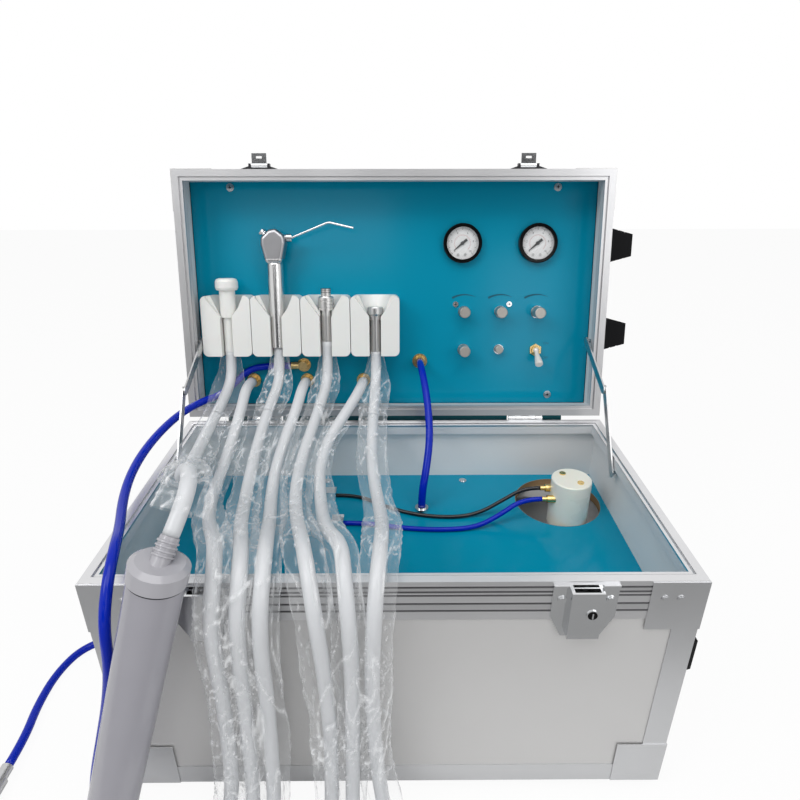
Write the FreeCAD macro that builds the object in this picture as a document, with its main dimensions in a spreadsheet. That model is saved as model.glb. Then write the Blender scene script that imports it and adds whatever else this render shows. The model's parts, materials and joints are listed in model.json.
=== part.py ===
"""Portable dental unit in an aluminium carrying case, lid open on its stays.

World frame: +Z up, the case stands on the floor at z = 0, its front faces -Y and
its hinges are at the back. The origin is under the middle of the case.
Tray frame, for both halves of the case: x across, y from the hinge side (lid) or
from the front (base), z up out of the opening, with the rim's face at z = 0.
"""

import FreeCAD, Part
import math
import os

import Sketcher

os.makedirs("parts", exist_ok=True)

doc = FreeCAD.newDocument("DentalUnit")
sheet = doc.addObject("Spreadsheet::Sheet", "Sizes")


# ---------------------------------------------------------------- driving dimensions

SIZES = {
    # case
    "case_width": 460.0,
    "case_depth": 262.0,
    "rim_height": 235.0,
    "foot_height": 12.0,
    "lid_depth": 95.0,
    "lean_angle": 12.0,
    "skin_inset": 1.0,
    "wall_thickness": 3.5,
    "floor_thickness": 5.0,
    "rim_width": 11.0,
    "flange_height": 12.0,
    "skirt_height": 36.0,
    "ridge_width": 7.0,
    "groove_width": 1.5,
    "groove_depth": 2.0,
    "line_depth": 0.5,
    "line_width": 1.0,
    "edge_leg": 20.0,
    "plate_leg": 41.5,
    "plate_height": 46.0,
    "plate_thickness": 0.8,
    "plate_chamfer": 9.0,
    "rivet_radius": 3.0,
    "rivet_rise": 1.2,
    "bumper_half": 22.0,
    "bumper_taper": 0.27,
    "bumper_reach": 37.0,
    "bumper_depth": 34.0,
    "bumper_skirt_gap": 1.5,
    "bumper_low": 91.0,
    "bumper_pitch": 99.0,
    "bumper_side": 61.0,
    # hinges
    "hinge_offset": 3.4,
    "hinge_lift": 0.3,
    "barrel_radius": 3.0,
    "hinge_width": 38.0,
    "hinge_side": 83.5,
    "leaf_length": 30.0,
    "leaf_thickness": 1.2,
    "knuckle_gap": 0.3,
    "strip_width": 6.2,
    "strip_thickness": 2.0,
    "strip_level": 2.6,
    "strip_clearance": 1.0,
    # deck and what stands under it
    "deck_drop": 69.0,
    "deck_thickness": 9.0,
    "deck_hole_radius": 44.5,
    "deck_hole_side": 55.0,
    "deck_hole_back": 59.0,
    "deck_screw_edge": 17.5,
    "deck_screw_place": 77.0,
    "ledge_width": 18.0,
    "ledge_height": 10.0,
    "bottle_side": 50.5,
    "bottle_back": 83.0,
    "bottle_radius": 33.0,
    "bottle_shoulder": 118.0,
    "bottle_neck_radius": 15.0,
    "cap_radius": 20.0,
    "cap_bottom": 158.0,
    "cap_top": 210.0,
    # control panel
    "panel_recess": 45.0,
    "panel_thickness": 2.0,
    "gauge_radius": 21.7,
    "gauge_rise": 8.0,
    "gauge_body_depth": 26.0,
    "gauge_body_radius": 19.0,
    "dial_radius": 18.4,
    "gauge_row": 192.6,
    "gauge_left": 76.5,
    "gauge_right": 161.2,
    "knob_row": 116.2,
    "button_row": 72.5,
    "knob_first": 79.7,
    "knob_second": 121.3,
    "knob_third": 163.0,
    "knob_radius": 6.2,
    # tool holders
    "holder_first": -186.8,
    "holder_pitch": 55.0,
    "holder_width": 54.2,
    "holder_bottom": 69.0,
    "holder_height": 67.0,
    "holder_depth": 32.0,
    "holder_corner": 6.0,
    "bore_depth": 20.0,
    "slot_width": 13.0,
    "funnel_radius": 18.5,
    "notch_width": 44.0,
    "notch_height": 23.0,
    "notch_depth": 8.0,
    # lid stays
    "stay_wall_gap": 9.1,
    "stay_thickness": 1.5,
    "stay_gap": 0.4,
    "stay_width": 9.0,
    "stay_base_reach": 90.4,
    "stay_base_drop": 16.5,
    "stay_lid_v": 85.0,
    "stay_lid_w": 17.0,
    "knee_reach": 38.8,
    "knee_rise": 52.2,
    "stay_pin_radius": 2.5,
    # hoses
    "hose_diameter": 11.5,
    "air_diameter": 8.0,
    "tube_diameter": 5.0,
    "small_tube_diameter": 4.0,
    # canister
    "canister_radius": 18.6,
    "canister_cap_radius": 19.7,
}


class Size:
    """A value together with the spreadsheet expression that it comes from."""

    def __init__(self, value, text):
        self.value = float(value)
        self.text = text

    @staticmethod
    def of(other):
        return other if isinstance(other, Size) else Size(other, repr(float(other)))

    def join(self, other, sign, value):
        return Size(value, "(" + self.text + " " + sign + " " + Size.of(other).text + ")")

    def __add__(self, other):
        return self.join(other, "+", self.value + Size.of(other).value)

    def __sub__(self, other):
        return self.join(other, "-", self.value - Size.of(other).value)

    def __mul__(self, other):
        return self.join(other, "*", self.value * Size.of(other).value)

    def __truediv__(self, other):
        return self.join(other, "/", self.value / Size.of(other).value)

    def __radd__(self, other):
        return Size.of(other) + self

    def __rsub__(self, other):
        return Size.of(other) - self

    def __rmul__(self, other):
        return Size.of(other) * self

    def __neg__(self):
        return Size(-self.value, "(-1 * " + self.text + ")")


class Sizes:
    """The driving dimensions as attributes, each bound to its spreadsheet cell."""

    def __init__(self, table):
        for row, (alias, value) in enumerate(table.items(), start=1):
            sheet.set("A" + str(row), alias.replace("_", " "))
            sheet.set("B" + str(row), str(value))
            sheet.setAlias("B" + str(row), alias)
            setattr(self, alias, Size(value, "Sizes." + alias))


S = Sizes(SIZES)
doc.recompute()

HALF_WIDTH = S.case_width / 2
HALF_DEPTH = S.case_depth / 2
WALL_OUT = S.skin_inset
WALL_IN = S.skin_inset + S.wall_thickness
BASE_START = -HALF_DEPTH
LID_START = S.hinge_offset
BASE_HEIGHT = S.rim_height - S.foot_height
AXIS_Y = HALF_DEPTH + S.hinge_offset
AXIS_Z = S.rim_height + S.hinge_lift
LID_TURN = 90 - S.lean_angle
PANEL = -S.panel_recess
DECK = -S.deck_drop
HINGE_PLACE = HALF_WIDTH - S.hinge_side
HOLE_X = HALF_WIDTH - S.deck_hole_side
HOLE_Y = HALF_DEPTH - S.deck_hole_back
BOTTLE_X = HALF_WIDTH - S.bottle_side
BOTTLE_Y = HALF_DEPTH - S.bottle_back
MINUS = -1


# ---------------------------------------------------------------- small helpers


def bind(obj, prop, size):
    """Sets a property from a Size by its expression, or from a plain number."""
    if isinstance(size, Size):
        obj.setExpression(prop, size.text)
    else:
        obj.setExpression(prop, repr(float(size)))


def place(obj, at):
    for letter, size in zip("xyz", at):
        bind(obj, "Placement.Base." + letter, size)
    return obj


def turn(obj, axis, angle):
    """Turns an object about one of its own axes; angle in degrees."""
    obj.Placement = FreeCAD.Placement(obj.Placement.Base, FreeCAD.Rotation(axis, 1))
    bind(obj, "Placement.Rotation.Angle", angle)
    return obj


X_AXIS = FreeCAD.Vector(1, 0, 0)
Y_AXIS = FreeCAD.Vector(0, 1, 0)
Z_AXIS = FreeCAD.Vector(0, 0, 1)


def box(at, size):
    obj = doc.addObject("Part::Box", "Block")
    for prop, value in zip(("Length", "Width", "Height"), size):
        bind(obj, prop, value)
    return place(obj, at)


def centred_box(middle_x, y, z, size):
    """A box whose x is given at its middle."""
    return box((middle_x - Size.of(size[0]) / 2, y, z), size)


def aim(obj, way):
    """Lays a round primitive, which rises along z, along x, y or -y."""
    if way == "x":
        turn(obj, Y_AXIS, 90)
    elif way == "y":
        turn(obj, X_AXIS, -90)
    elif way == "-y":
        turn(obj, X_AXIS, 90)
    return obj


def cylinder(at, radius, height, way="z"):
    obj = doc.addObject("Part::Cylinder", "Round")
    bind(obj, "Radius", radius)
    bind(obj, "Height", height)
    aim(obj, way)
    return place(obj, at)


def cone(at, bottom_radius, top_radius, height, way="z"):
    obj = doc.addObject("Part::Cone", "Taper")
    bind(obj, "Radius1", bottom_radius)
    bind(obj, "Radius2", top_radius)
    bind(obj, "Height", height)
    aim(obj, way)
    return place(obj, at)


def fuse(parts):
    obj = doc.addObject("Part::MultiFuse", "Joined")
    obj.Shapes = parts
    obj.Refine = True
    return obj


def cut(base, tools):
    obj = doc.addObject("Part::Cut", "CutOut")
    obj.Base = base
    obj.Tool = tools[0] if len(tools) == 1 else fuse(tools)
    return obj


def group(parts):
    """Separate pieces that make one node."""
    if len(parts) == 1:
        return parts[0]
    obj = doc.addObject("Part::Compound", "Set")
    obj.Links = parts
    return obj


NODES = []


def name_it(obj, label):
    obj.Label = label
    NODES.append(obj)
    return obj


def on_base(obj, label):
    """A piece made in the base tray's frame."""
    place(obj, (0, 0, S.rim_height))
    return name_it(obj, label)


def on_lid(obj, label):
    """A piece made in the lid tray's frame, leaned back with the lid."""
    turn(obj, X_AXIS, LID_TURN)
    place(obj, (0, AXIS_Y, AXIS_Z))
    return name_it(obj, label)


def origin_plane(body, role):
    for feature in body.Origin.OriginFeatures:
        if feature.Role == role:
            return feature
    raise ValueError("no plane " + role)


def pin_point(sketch, edge, point, size, kind):
    """Holds one coordinate of a sketch point by its expression."""
    size = Size.of(size)
    if size.value == 0:
        axis = -2 if kind == "DistanceX" else -1
        sketch.addConstraint(Sketcher.Constraint("PointOnObject", edge, point, axis))
        return
    if size.value > 0:
        number = sketch.addConstraint(Sketcher.Constraint(kind, -1, 1, edge, point, size.value))
        text = size.text
    else:
        number = sketch.addConstraint(Sketcher.Constraint(kind, edge, point, -1, 1, -size.value))
        text = (-size).text
    sketch.setExpression("Constraints[" + str(number) + "]", text)


def new_body(label):
    body = doc.addObject("PartDesign::Body", label.replace("_", " ").title().replace(" ", ""))
    return body


def outline(body, role, points):
    """A closed outline of straight lines through points of (Size, Size)."""
    sketch = body.newObject("Sketcher::SketchObject", "Outline")
    sketch.AttachmentSupport = [(origin_plane(body, role), "")]
    sketch.MapMode = "FlatFace"
    corners = [FreeCAD.Vector(Size.of(a).value, Size.of(b).value, 0) for a, b in points]
    count = len(corners)
    for i in range(count):
        sketch.addGeometry(Part.LineSegment(corners[i], corners[(i + 1) % count]), False)
    for i in range(count):
        sketch.addConstraint(Sketcher.Constraint("Coincident", i, 2, (i + 1) % count, 1))
    for i, (a, b) in enumerate(points):
        pin_point(sketch, i, 1, a, "DistanceX")
        pin_point(sketch, i, 1, b, "DistanceY")
    return sketch


def padded(label, points, height, role="XY_Plane"):
    """A body padded from an outline on one of its planes."""
    body = new_body(label)
    sketch = outline(body, role, points)
    pad = body.newObject("PartDesign::Pad", "Pad")
    pad.Profile = sketch
    bind(pad, "Length", height)
    body.Tip = pad
    return body


def turned(label, points):
    """A body turned about z from a profile of (radius, height) points."""
    body = new_body(label)
    sketch = outline(body, "XZ_Plane", points)
    revolution = body.newObject("PartDesign::Revolution", "Turned")
    revolution.Profile = sketch
    revolution.ReferenceAxis = (sketch, ["V_Axis"])
    revolution.Angle = 360
    body.Tip = revolution
    return body


def stepped(steps):
    """Profile points of a turned piece from (radius, height) pairs, closed on the axis."""
    return [(0, steps[0][1])] + list(steps) + [(0, steps[-1][1])]


def dome(at, radius, rise, way="z"):
    """A low rivet or screw head: a disc with a smaller disc on it."""
    low = cylinder(at, radius, rise * 0.6, way)
    top = cylinder(at, radius * 0.7, rise, way)
    return fuse([low, top])


# ---------------------------------------------------------------- case trays


def tray(start, height, ledges):
    """The panelled tray under a rim: floor and four walls, with its inner ledges."""
    outer = box(
        (-HALF_WIDTH + WALL_OUT, start + WALL_OUT, WALL_OUT - height),
        (S.case_width - WALL_OUT * 2, S.case_depth - WALL_OUT * 2, height - WALL_OUT - S.flange_height),
    )
    inner = box(
        (-HALF_WIDTH + WALL_IN, start + WALL_IN, WALL_OUT - height + S.floor_thickness),
        (S.case_width - WALL_IN * 2, S.case_depth - WALL_IN * 2, height),
    )
    return fuse([cut(outer, [inner])] + ledges)


def base_shell():
    """Base tray with ledges along three walls that carry the deck."""
    drop = DECK - S.deck_thickness - S.ledge_height
    long_size = (S.case_width - WALL_IN * 2, S.ledge_width, S.ledge_height)
    front = box((-HALF_WIDTH + WALL_IN, BASE_START + WALL_IN, drop), long_size)
    back = box((-HALF_WIDTH + WALL_IN, HALF_DEPTH - WALL_IN - S.ledge_width, drop), long_size)
    on_base(tray(BASE_START, BASE_HEIGHT, [front, back]), "base_shell")


def lid_shell():
    """Lid tray with four corner blocks that the control panel is screwed to."""
    size = (46.0, 22.0, 14.0)
    low = PANEL - S.panel_thickness - size[2]
    near = LID_START + WALL_IN
    far = LID_START + S.case_depth - WALL_IN - size[1]
    left = -HALF_WIDTH + WALL_IN
    right = HALF_WIDTH - WALL_IN - size[0]
    blocks = [box((x, y, low), size) for x in (left, right) for y in (near, far)]
    on_lid(tray(LID_START, S.lid_depth, blocks), "lid_shell")


def rim(label, start, grooves, put):
    """Rim extrusion: a ribbed section swept round the mitred rectangle of the case."""
    body = new_body(label)
    path = body.newObject("Sketcher::SketchObject", "Path")
    path.AttachmentSupport = [(origin_plane(body, "XY_Plane"), "")]
    path.MapMode = "FlatFace"
    end = start + S.case_depth
    corners = [
        (0, start),
        (HALF_WIDTH, start),
        (HALF_WIDTH, end),
        (-HALF_WIDTH, end),
        (-HALF_WIDTH, start),
    ]
    spots = [FreeCAD.Vector(Size.of(a).value, Size.of(b).value, 0) for a, b in corners]
    for i in range(len(spots)):
        path.addGeometry(Part.LineSegment(spots[i], spots[(i + 1) % len(spots)]), False)
    for i in range(len(spots)):
        path.addConstraint(Sketcher.Constraint("Coincident", i, 2, (i + 1) % len(spots), 1))
    for i, (a, b) in enumerate(corners):
        pin_point(path, i, 1, a, "DistanceX")
        pin_point(path, i, 1, b, "DistanceY")

    def inward(distance):
        return start + distance

    lip = inward(S.ridge_width + S.groove_width)
    section = [
        (inward(Size.of(0)), 0),
        (inward(S.ridge_width), 0),
        (inward(S.ridge_width), -S.groove_depth),
        (lip, -S.groove_depth),
        (lip, -S.groove_depth / 2),
        (inward(S.rim_width), -S.groove_depth / 2),
        (inward(S.rim_width), -S.flange_height),
        (inward(S.skin_inset), -S.flange_height),
        (inward(S.skin_inset), -S.skirt_height),
        (inward(Size.of(0)), -S.skirt_height),
    ]
    for level in sorted(grooves, reverse=True):
        section.append((inward(Size.of(0)), Size.of(-level)))
        section.append((inward(S.line_depth), Size.of(-level)))
        section.append((inward(S.line_depth), S.line_width - level))
        section.append((inward(Size.of(0)), S.line_width - level))
    profile = outline(body, "YZ_Plane", section)
    pipe = body.newObject("PartDesign::AdditivePipe", "Sweep")
    pipe.Profile = profile
    pipe.Spine = (path, ["Edge" + str(i + 1) for i in range(len(spots))])
    pipe.Transition = "Right corner"
    body.Tip = pipe
    put(body, label)


def edges(label, start, height, put, extras=()):
    """Corner angles, bottom frame and riveted corner plates of one half of the case."""

    def block(inset, low, high):
        """A box over the whole half, shrunk by inset, between two levels."""
        return box(
            (-HALF_WIDTH + inset, start + inset, low),
            (S.case_width - inset * 2, S.case_depth - inset * 2, high - low),
        )

    def window(leg, low, high):
        """Two crossing boxes that leave only the four corners."""
        clear = Size.of(5)
        along = box(
            (-HALF_WIDTH + leg, start - clear, low),
            (S.case_width - leg * 2, S.case_depth + clear * 2, high - low),
        )
        across = box(
            (-HALF_WIDTH - clear, start + leg, low),
            (S.case_width + clear * 2, S.case_depth - leg * 2, high - low),
        )
        return [along, across]

    floor = -height
    top = -S.skirt_height
    angles = cut(
        cut(block(Size.of(0), floor, top), [block(WALL_OUT, floor - 1, top + 1)]),
        window(S.edge_leg, floor - 1, top + 1),
    )
    frame = cut(
        block(Size.of(0), floor, floor + S.edge_leg),
        [block(WALL_OUT, floor + WALL_OUT, top), block(S.edge_leg, floor - 1, floor + 2)],
    )
    plates = []
    for low, high in ((-S.plate_height, Size.of(-1)), (floor, floor + S.plate_height)):
        shell = block(-S.plate_thickness, low, high)
        hollow = block(Size.of(0), low - 1, high + 1)
        plates.append(cut(cut(shell, [hollow]), window(S.plate_leg, low - 1, high + 1)))
    rivets = []
    for side in (-1, 1):
        for reach in (18.8, 30.6):
            x = side * (HALF_WIDTH - reach)
            spot = (x, start - S.plate_thickness, -15.9)
            rivets.append(dome(spot, S.rivet_radius, S.rivet_rise, "-y"))
    put(group([fuse([angles, frame]), *plates, *rivets, *extras]), label)


def back_strips():
    """Cover strips along the lid's hinge side that close the gap between the halves."""
    inner = HINGE_PLACE - S.hinge_width / 2 - S.strip_clearance
    outer = HINGE_PLACE + S.hinge_width / 2 + S.strip_clearance
    end = HALF_WIDTH - S.plate_leg - 0.5
    strips = []
    for left, right in ((-end, -outer), (-inner, inner), (outer, end)):
        strips.append(
            box(
                (left, LID_START - S.strip_width, -S.strip_level - S.strip_thickness),
                (right - left, S.strip_width, S.strip_thickness),
            )
        )
    return strips


# ---------------------------------------------------------------- base fittings


def base_feet():
    """Four rubber feet under the case and two bumpers on its right wall."""
    feet = []
    for x in (-1, 1):
        for y in (-1, 1):
            spot = (x * (HALF_WIDTH - 38), y * (HALF_DEPTH - 38), 0)
            feet.append(cone(spot, 13, 15, S.foot_height + WALL_OUT))
    for way in (-1, 1):
        feet.append(side_foot((HALF_DEPTH - S.bumper_side) * way, 90))
    name_it(group(feet), "base_feet")


def side_foot(y, z):
    """A ribbed rubber bumper on a right-hand wall, wide at the wall."""

    def edge(reach):
        """Half the bumper's width at a distance from the wall."""
        return S.bumper_half - S.bumper_taper * reach

    profile = [(0, -S.bumper_half)]
    for i in range(4):
        first = S.bumper_reach * (0.14 + i * 0.2)
        last = first + 1.4
        profile.append((first, -edge(first)))
        profile.append((first, -edge(first) + 1))
        profile.append((last, -edge(last) + 1))
        profile.append((last, -edge(last)))
    profile.append((S.bumper_reach, -edge(S.bumper_reach)))
    profile.extend([(x, -half) for x, half in reversed(profile)])
    foot = padded("side_foot", profile, S.bumper_depth)
    return place(foot, (HALF_WIDTH - WALL_OUT, y, z))


def deck():
    """Deck board with the bottle hole, its screws and its hose and tube fittings."""
    board = box(
        (-HALF_WIDTH + WALL_IN, BASE_START + WALL_IN, DECK - S.deck_thickness),
        (S.case_width - WALL_IN * 2, S.case_depth - WALL_IN * 2, S.deck_thickness),
    )
    hole = cylinder(
        (HOLE_X, HOLE_Y, DECK - S.deck_thickness - 1), S.deck_hole_radius, S.deck_thickness + 2
    )
    on_base(cut(board, [hole]), "deck_board")
    pieces = []
    for side in (-1, 1):
        for end in (-1, 1):
            spot = (S.deck_screw_place * side, (HALF_DEPTH - S.deck_screw_edge) * end, DECK)
            pieces.append(dome(spot, 4.2, Size.of(1.8)))
    pieces.append(fuse([cylinder((28, 56.5, DECK), 7, 4), cylinder((28, 56.5, DECK), 5.2, 6)]))
    for x, y in ((-76, 82), (-64, 31)):
        pieces.append(box((x, y - 6, DECK), (12, 12, 9)))
    on_base(group(pieces), "deck_fittings")


def water_bottle():
    """Blow-moulded water bottle that stands on the floor of the base."""
    floor = S.foot_height + WALL_OUT + S.floor_thickness
    bottle = turned(
        "water_bottle",
        stepped(
            [
                (S.bottle_radius, floor),
                (S.bottle_radius, S.bottle_shoulder),
                (S.bottle_neck_radius, S.cap_bottom - 8),
                (S.bottle_neck_radius, S.cap_bottom),
            ]
        ),
    )
    name_it(place(bottle, (BOTTLE_X, BOTTLE_Y, 0)), "water_bottle")
    cap = turned(
        "bottle_cap",
        stepped(
            [
                (S.cap_radius, S.cap_bottom),
                (S.cap_radius, S.cap_top - 1),
                (S.cap_radius - 1, S.cap_top),
            ]
        ),
    )
    name_it(place(cap, (BOTTLE_X, BOTTLE_Y, 0)), "bottle_cap")


def cap_fittings():
    """Two brass inserts in the cap's top and two brass elbows on its left side."""
    pieces = []
    for x, y in ((-7.3, 9.0), (6.5, -9.0)):
        pieces.append(cylinder((BOTTLE_X + x, BOTTLE_Y + y, S.cap_top), 3.2, 1.2))
    keep = cylinder((BOTTLE_X, BOTTLE_Y, S.cap_bottom), S.cap_radius, 60)
    for across, down in ((4.0, 14.0), (-7.0, 20.0)):
        start = BOTTLE_X - S.cap_radius
        y = BOTTLE_Y + across
        z = S.cap_top - down
        nut = cylinder((start - 5, y, z), 4.0, 12, "x")
        barb = cylinder((start - 10, y, z), 2.4, 12, "x")
        pieces.append(cut(fuse([nut, barb]), [keep]))
    name_it(group(pieces), "cap_fittings")


def lock_bodies():
    """Two riveted lock plates with a keyed lock box and a hasp slot in the top."""
    sets = []
    for side in (-1, 1):
        middle = side * 140.1
        plate = padded(
            "lock_plate",
            [(-24.3, 0), (24.3, 0), (24.3, -30), (15, -49), (-15, -49), (-24.3, -30)],
            1.4,
            "XZ_Plane",
        )
        place(plate, (middle, -HALF_DEPTH, S.rim_height - 2))
        body = box((middle - 12, -HALF_DEPTH - 8.0, S.rim_height - 48), (24, 8.0, 43))
        slot = box((middle - 9.5, -HALF_DEPTH - 6.2, S.rim_height - 18), (19, 4.2, 14))
        key = cylinder((middle + 4.5, -HALF_DEPTH - 8.8, S.rim_height - 24.6), 4.6, 1.5, "y")
        ledge = box((middle - 24.3, -HALF_DEPTH - 3.0, S.rim_height - 3.5), (48.6, 3.0, 1.5))
        notch = box((middle - 12, -HALF_DEPTH - 9, S.rim_height - 4.9), (24, 7.6, 5))
        rivets = []
        for offset in (-12.4 - 4.6, 12.4 + 6.6):
            spot = (middle + offset, -HALF_DEPTH - 1.4, S.rim_height - 15.8)
            rivets.append(dome(spot, 3.4, Size.of(1.4), "-y"))
        sets.append(cut(fuse([plate, body, ledge, key] + rivets), [slot, notch]))
    name_it(group(sets), "lock_bodies")


def hinge_leaf(middle, first, count_own, lid_side):
    """One leaf of a butt hinge with its knuckles, in the frame of the hinge axis."""
    width = S.hinge_width / 5
    pieces = []
    for i in range(5):
        if (i % 2 == 0) == lid_side:
            continue
        start = middle - S.hinge_width / 2 + width * i
        pieces.append(
            cylinder((start + S.knuckle_gap / 2, 0, 0), S.barrel_radius, width - S.knuckle_gap, "x")
        )
        pieces.append(
            box(
                (start + S.knuckle_gap / 2, first[0], first[1]),
                (width - S.knuckle_gap, first[2], first[3]),
            )
        )
    return pieces


def hinges():
    """Two butt hinges: base leaves on the back wall, lid leaves on the lid's back."""
    base_pieces = []
    lid_pieces = []
    face = S.hinge_offset
    for side in (-1, 1):
        middle = side * HINGE_PLACE
        leaf = box(
            (middle - S.hinge_width / 2, -face, -S.leaf_length),
            (S.hinge_width, S.leaf_thickness, S.leaf_length - S.barrel_radius - 0.6),
        )
        tabs = (-face, -S.barrel_radius - 0.7, S.leaf_thickness, S.barrel_radius + 0.7)
        base_pieces.append(fuse([leaf] + hinge_leaf(middle, tabs, 3, False)))
        leaf = box(
            (middle - S.hinge_width / 2, face - S.leaf_thickness, -S.leaf_length),
            (S.hinge_width, S.leaf_thickness, S.leaf_length - S.barrel_radius - 0.6),
        )
        tabs = (face - S.leaf_thickness, -S.barrel_radius - 0.7, S.leaf_thickness, S.barrel_radius + 0.7)
        lid_pieces.append(fuse([leaf] + hinge_leaf(middle, tabs, 2, True)))
    base = group(base_pieces)
    place(base, (0, AXIS_Y, AXIS_Z))
    name_it(base, "hinge_base_leaves")
    on_lid(group(lid_pieces), "hinge_lid_leaves")


def carry_handle():
    """Folding carry handle on the left wall, between its two brackets."""
    wall = -HALF_WIDTH + WALL_OUT
    height = 150.0
    axis = wall - 9.5
    brackets = []
    for side in (-1, 1):
        middle = side * 66.0
        plate = box((wall - 2, middle - 16, height - 17), (2, 32, 34))
        ear = box((wall - 15, middle - 4, height - 6), (13, 8, 12))
        hole = cylinder((axis, middle - 4 if side > 0 else middle - 1, height), PIN + 0.05, 5, "y")
        brackets.append(cut(fuse([plate, ear]), [hole]))
    name_it(group(brackets), "handle_brackets")
    arms = [box((axis - 4, side * 57.0 - 4.5, height - 34), (8, 9, 40)) for side in (-1, 1)]
    grip = cylinder((axis, -57, height - 34), 8, 114, "y")
    pins = [cylinder((axis, -66, height), PIN, 9, "y"), cylinder((axis, 57, height), PIN, 9, "y")]
    name_it(fuse(arms + [grip] + pins), "carry_handle")


PIN = 2.5


# ---------------------------------------------------------------- control panel


def control_panel():
    """Teal panel that closes the lid, with the holes of its controls left solid."""
    panel = box(
        (-HALF_WIDTH + WALL_IN, LID_START + WALL_IN, PANEL - S.panel_thickness),
        (S.case_width - WALL_IN * 2, S.case_depth - WALL_IN * 2, S.panel_thickness),
    )
    holes = []
    for x in (S.gauge_left, S.gauge_right):
        holes.append(
            cylinder((x, S.gauge_row, PANEL - S.panel_thickness - 1), S.gauge_body_radius, S.panel_thickness + 2)
        )
    on_lid(cut(panel, holes), "control_panel")


# each holder: radius of its bore, height of the step that its tool sits on, radius above
# the step and height where its funnel starts
SEATS = (
    (7.0, 112.0, 9.1, 114.0),
    (6.6, 78.0, 9.5, 114.0),
    (7.0, 119.7, 9.4, 120.6),
    (7.0, 109.0, 9.3, 114.0),
)


def tool_holder(number):
    """A moulded holder: bored and stepped for its tool, slotted in front, funnelled on top."""
    middle = S.holder_first + S.holder_pitch * number
    block = new_body("holder_block")
    half = S.holder_width / 2
    r = S.holder_corner
    points = [(-half, 0), (half, 0), (half, S.holder_height), (-half, S.holder_height)]
    sketch = outline(block, "XY_Plane", points)
    pad = block.newObject("PartDesign::Pad", "Pad")
    pad.Profile = sketch
    bind(pad, "Length", S.holder_depth)
    doc.recompute()
    upright = []
    for i, edge in enumerate(pad.Shape.Edges):
        ends = [v.Point for v in edge.Vertexes]
        if abs(ends[0].z - ends[1].z) > 1:
            upright.append("Edge" + str(i + 1))
    rounding = block.newObject("PartDesign::Fillet", "Rounding")
    rounding.Base = (pad, upright)
    bind(rounding, "Radius", r)
    block.Tip = rounding
    place(block, (middle, S.holder_bottom, PANEL))
    bore_radius, seat, step_radius, flare = SEATS[number]
    bottom = S.holder_bottom - 1
    full = S.holder_height + 2
    top = S.holder_bottom + S.holder_height
    level = PANEL + S.bore_depth
    bore = cylinder((middle, bottom, level), bore_radius, full, "y")
    step = cylinder((middle, seat, level), step_radius, top - seat + 1, "y")
    slot = centred_box(middle, bottom, level, (S.slot_width, full, S.holder_depth))
    funnel = cone((middle, flare, level), step_radius, S.funnel_radius, top - flare + 0.01, "y")
    front = S.notch_width / 2
    low = S.slot_width / 2
    outline_points = [
        (-low, 0),
        (low, 0),
        (front, S.notch_height - 2),
        (front, S.notch_height + 2),
        (-front, S.notch_height + 2),
        (-front, S.notch_height - 2),
    ]
    notch = padded("holder_notch", outline_points, S.notch_depth + 1)
    place(notch, (middle, top - S.notch_height, PANEL + S.holder_depth - S.notch_depth))
    tools = [bore, step, slot, funnel, notch]
    on_lid(cut(block, tools), "tool_holder_" + str(number + 1))


def gauges():
    """Two pressure gauges: case with its bezel, dial, lens, and a needle each."""
    cases = []
    dials = []
    lenses = []
    for i, x in enumerate((S.gauge_left, S.gauge_right), start=1):
        rise = S.gauge_rise
        can = turned(
            "gauge_case",
            [
                (0, -S.gauge_body_depth),
                (S.gauge_body_radius - 0.5, -S.gauge_body_depth),
                (S.gauge_body_radius - 0.5, 0),
                (S.gauge_radius, 0),
                (S.gauge_radius, rise - 1),
                (S.gauge_radius - 1, rise),
                (S.dial_radius - 0.6, rise),
                (S.dial_radius, rise - 1),
                (S.dial_radius, 2),
                (0, 2),
            ],
        )
        cases.append(place(can, (x, S.gauge_row, PANEL)))
        dials.append(cylinder((x, S.gauge_row, PANEL + 2), S.dial_radius - 0.1, 0.8))
        lenses.append(cylinder((x, S.gauge_row, PANEL + rise - 2.6), S.dial_radius - 0.1, 1.4))
        needle = padded(
            "needle",
            [(-12.5, -0.35), (0, -1.3), (6.5, -1.5), (6.5, 1.5), (0, 1.3), (-12.5, 0.35)],
            0.5,
        )
        turn(needle, Z_AXIS, 40)
        place(needle, (x, S.gauge_row, PANEL + 3.4))
        hub = cylinder((x, S.gauge_row, PANEL + 2.85), 2.0, 1.6)
        on_lid(fuse([needle, hub]), "gauge_needle_" + str(i))
    on_lid(group(cases), "gauge_cases")
    on_lid(group(dials), "gauge_dials")
    on_lid(group(lenses), "gauge_lenses")


COLLARS = (
    ("knob_first", "knob_row", 6.6, 4.0),
    ("knob_second", "knob_row", 6.6, 4.0),
    ("knob_third", "knob_row", 7.0, 8.0),
    ("knob_first", "button_row", 6.8, 7.0),
)


AIR_LEVEL = (PANEL + 6.5).value


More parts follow.
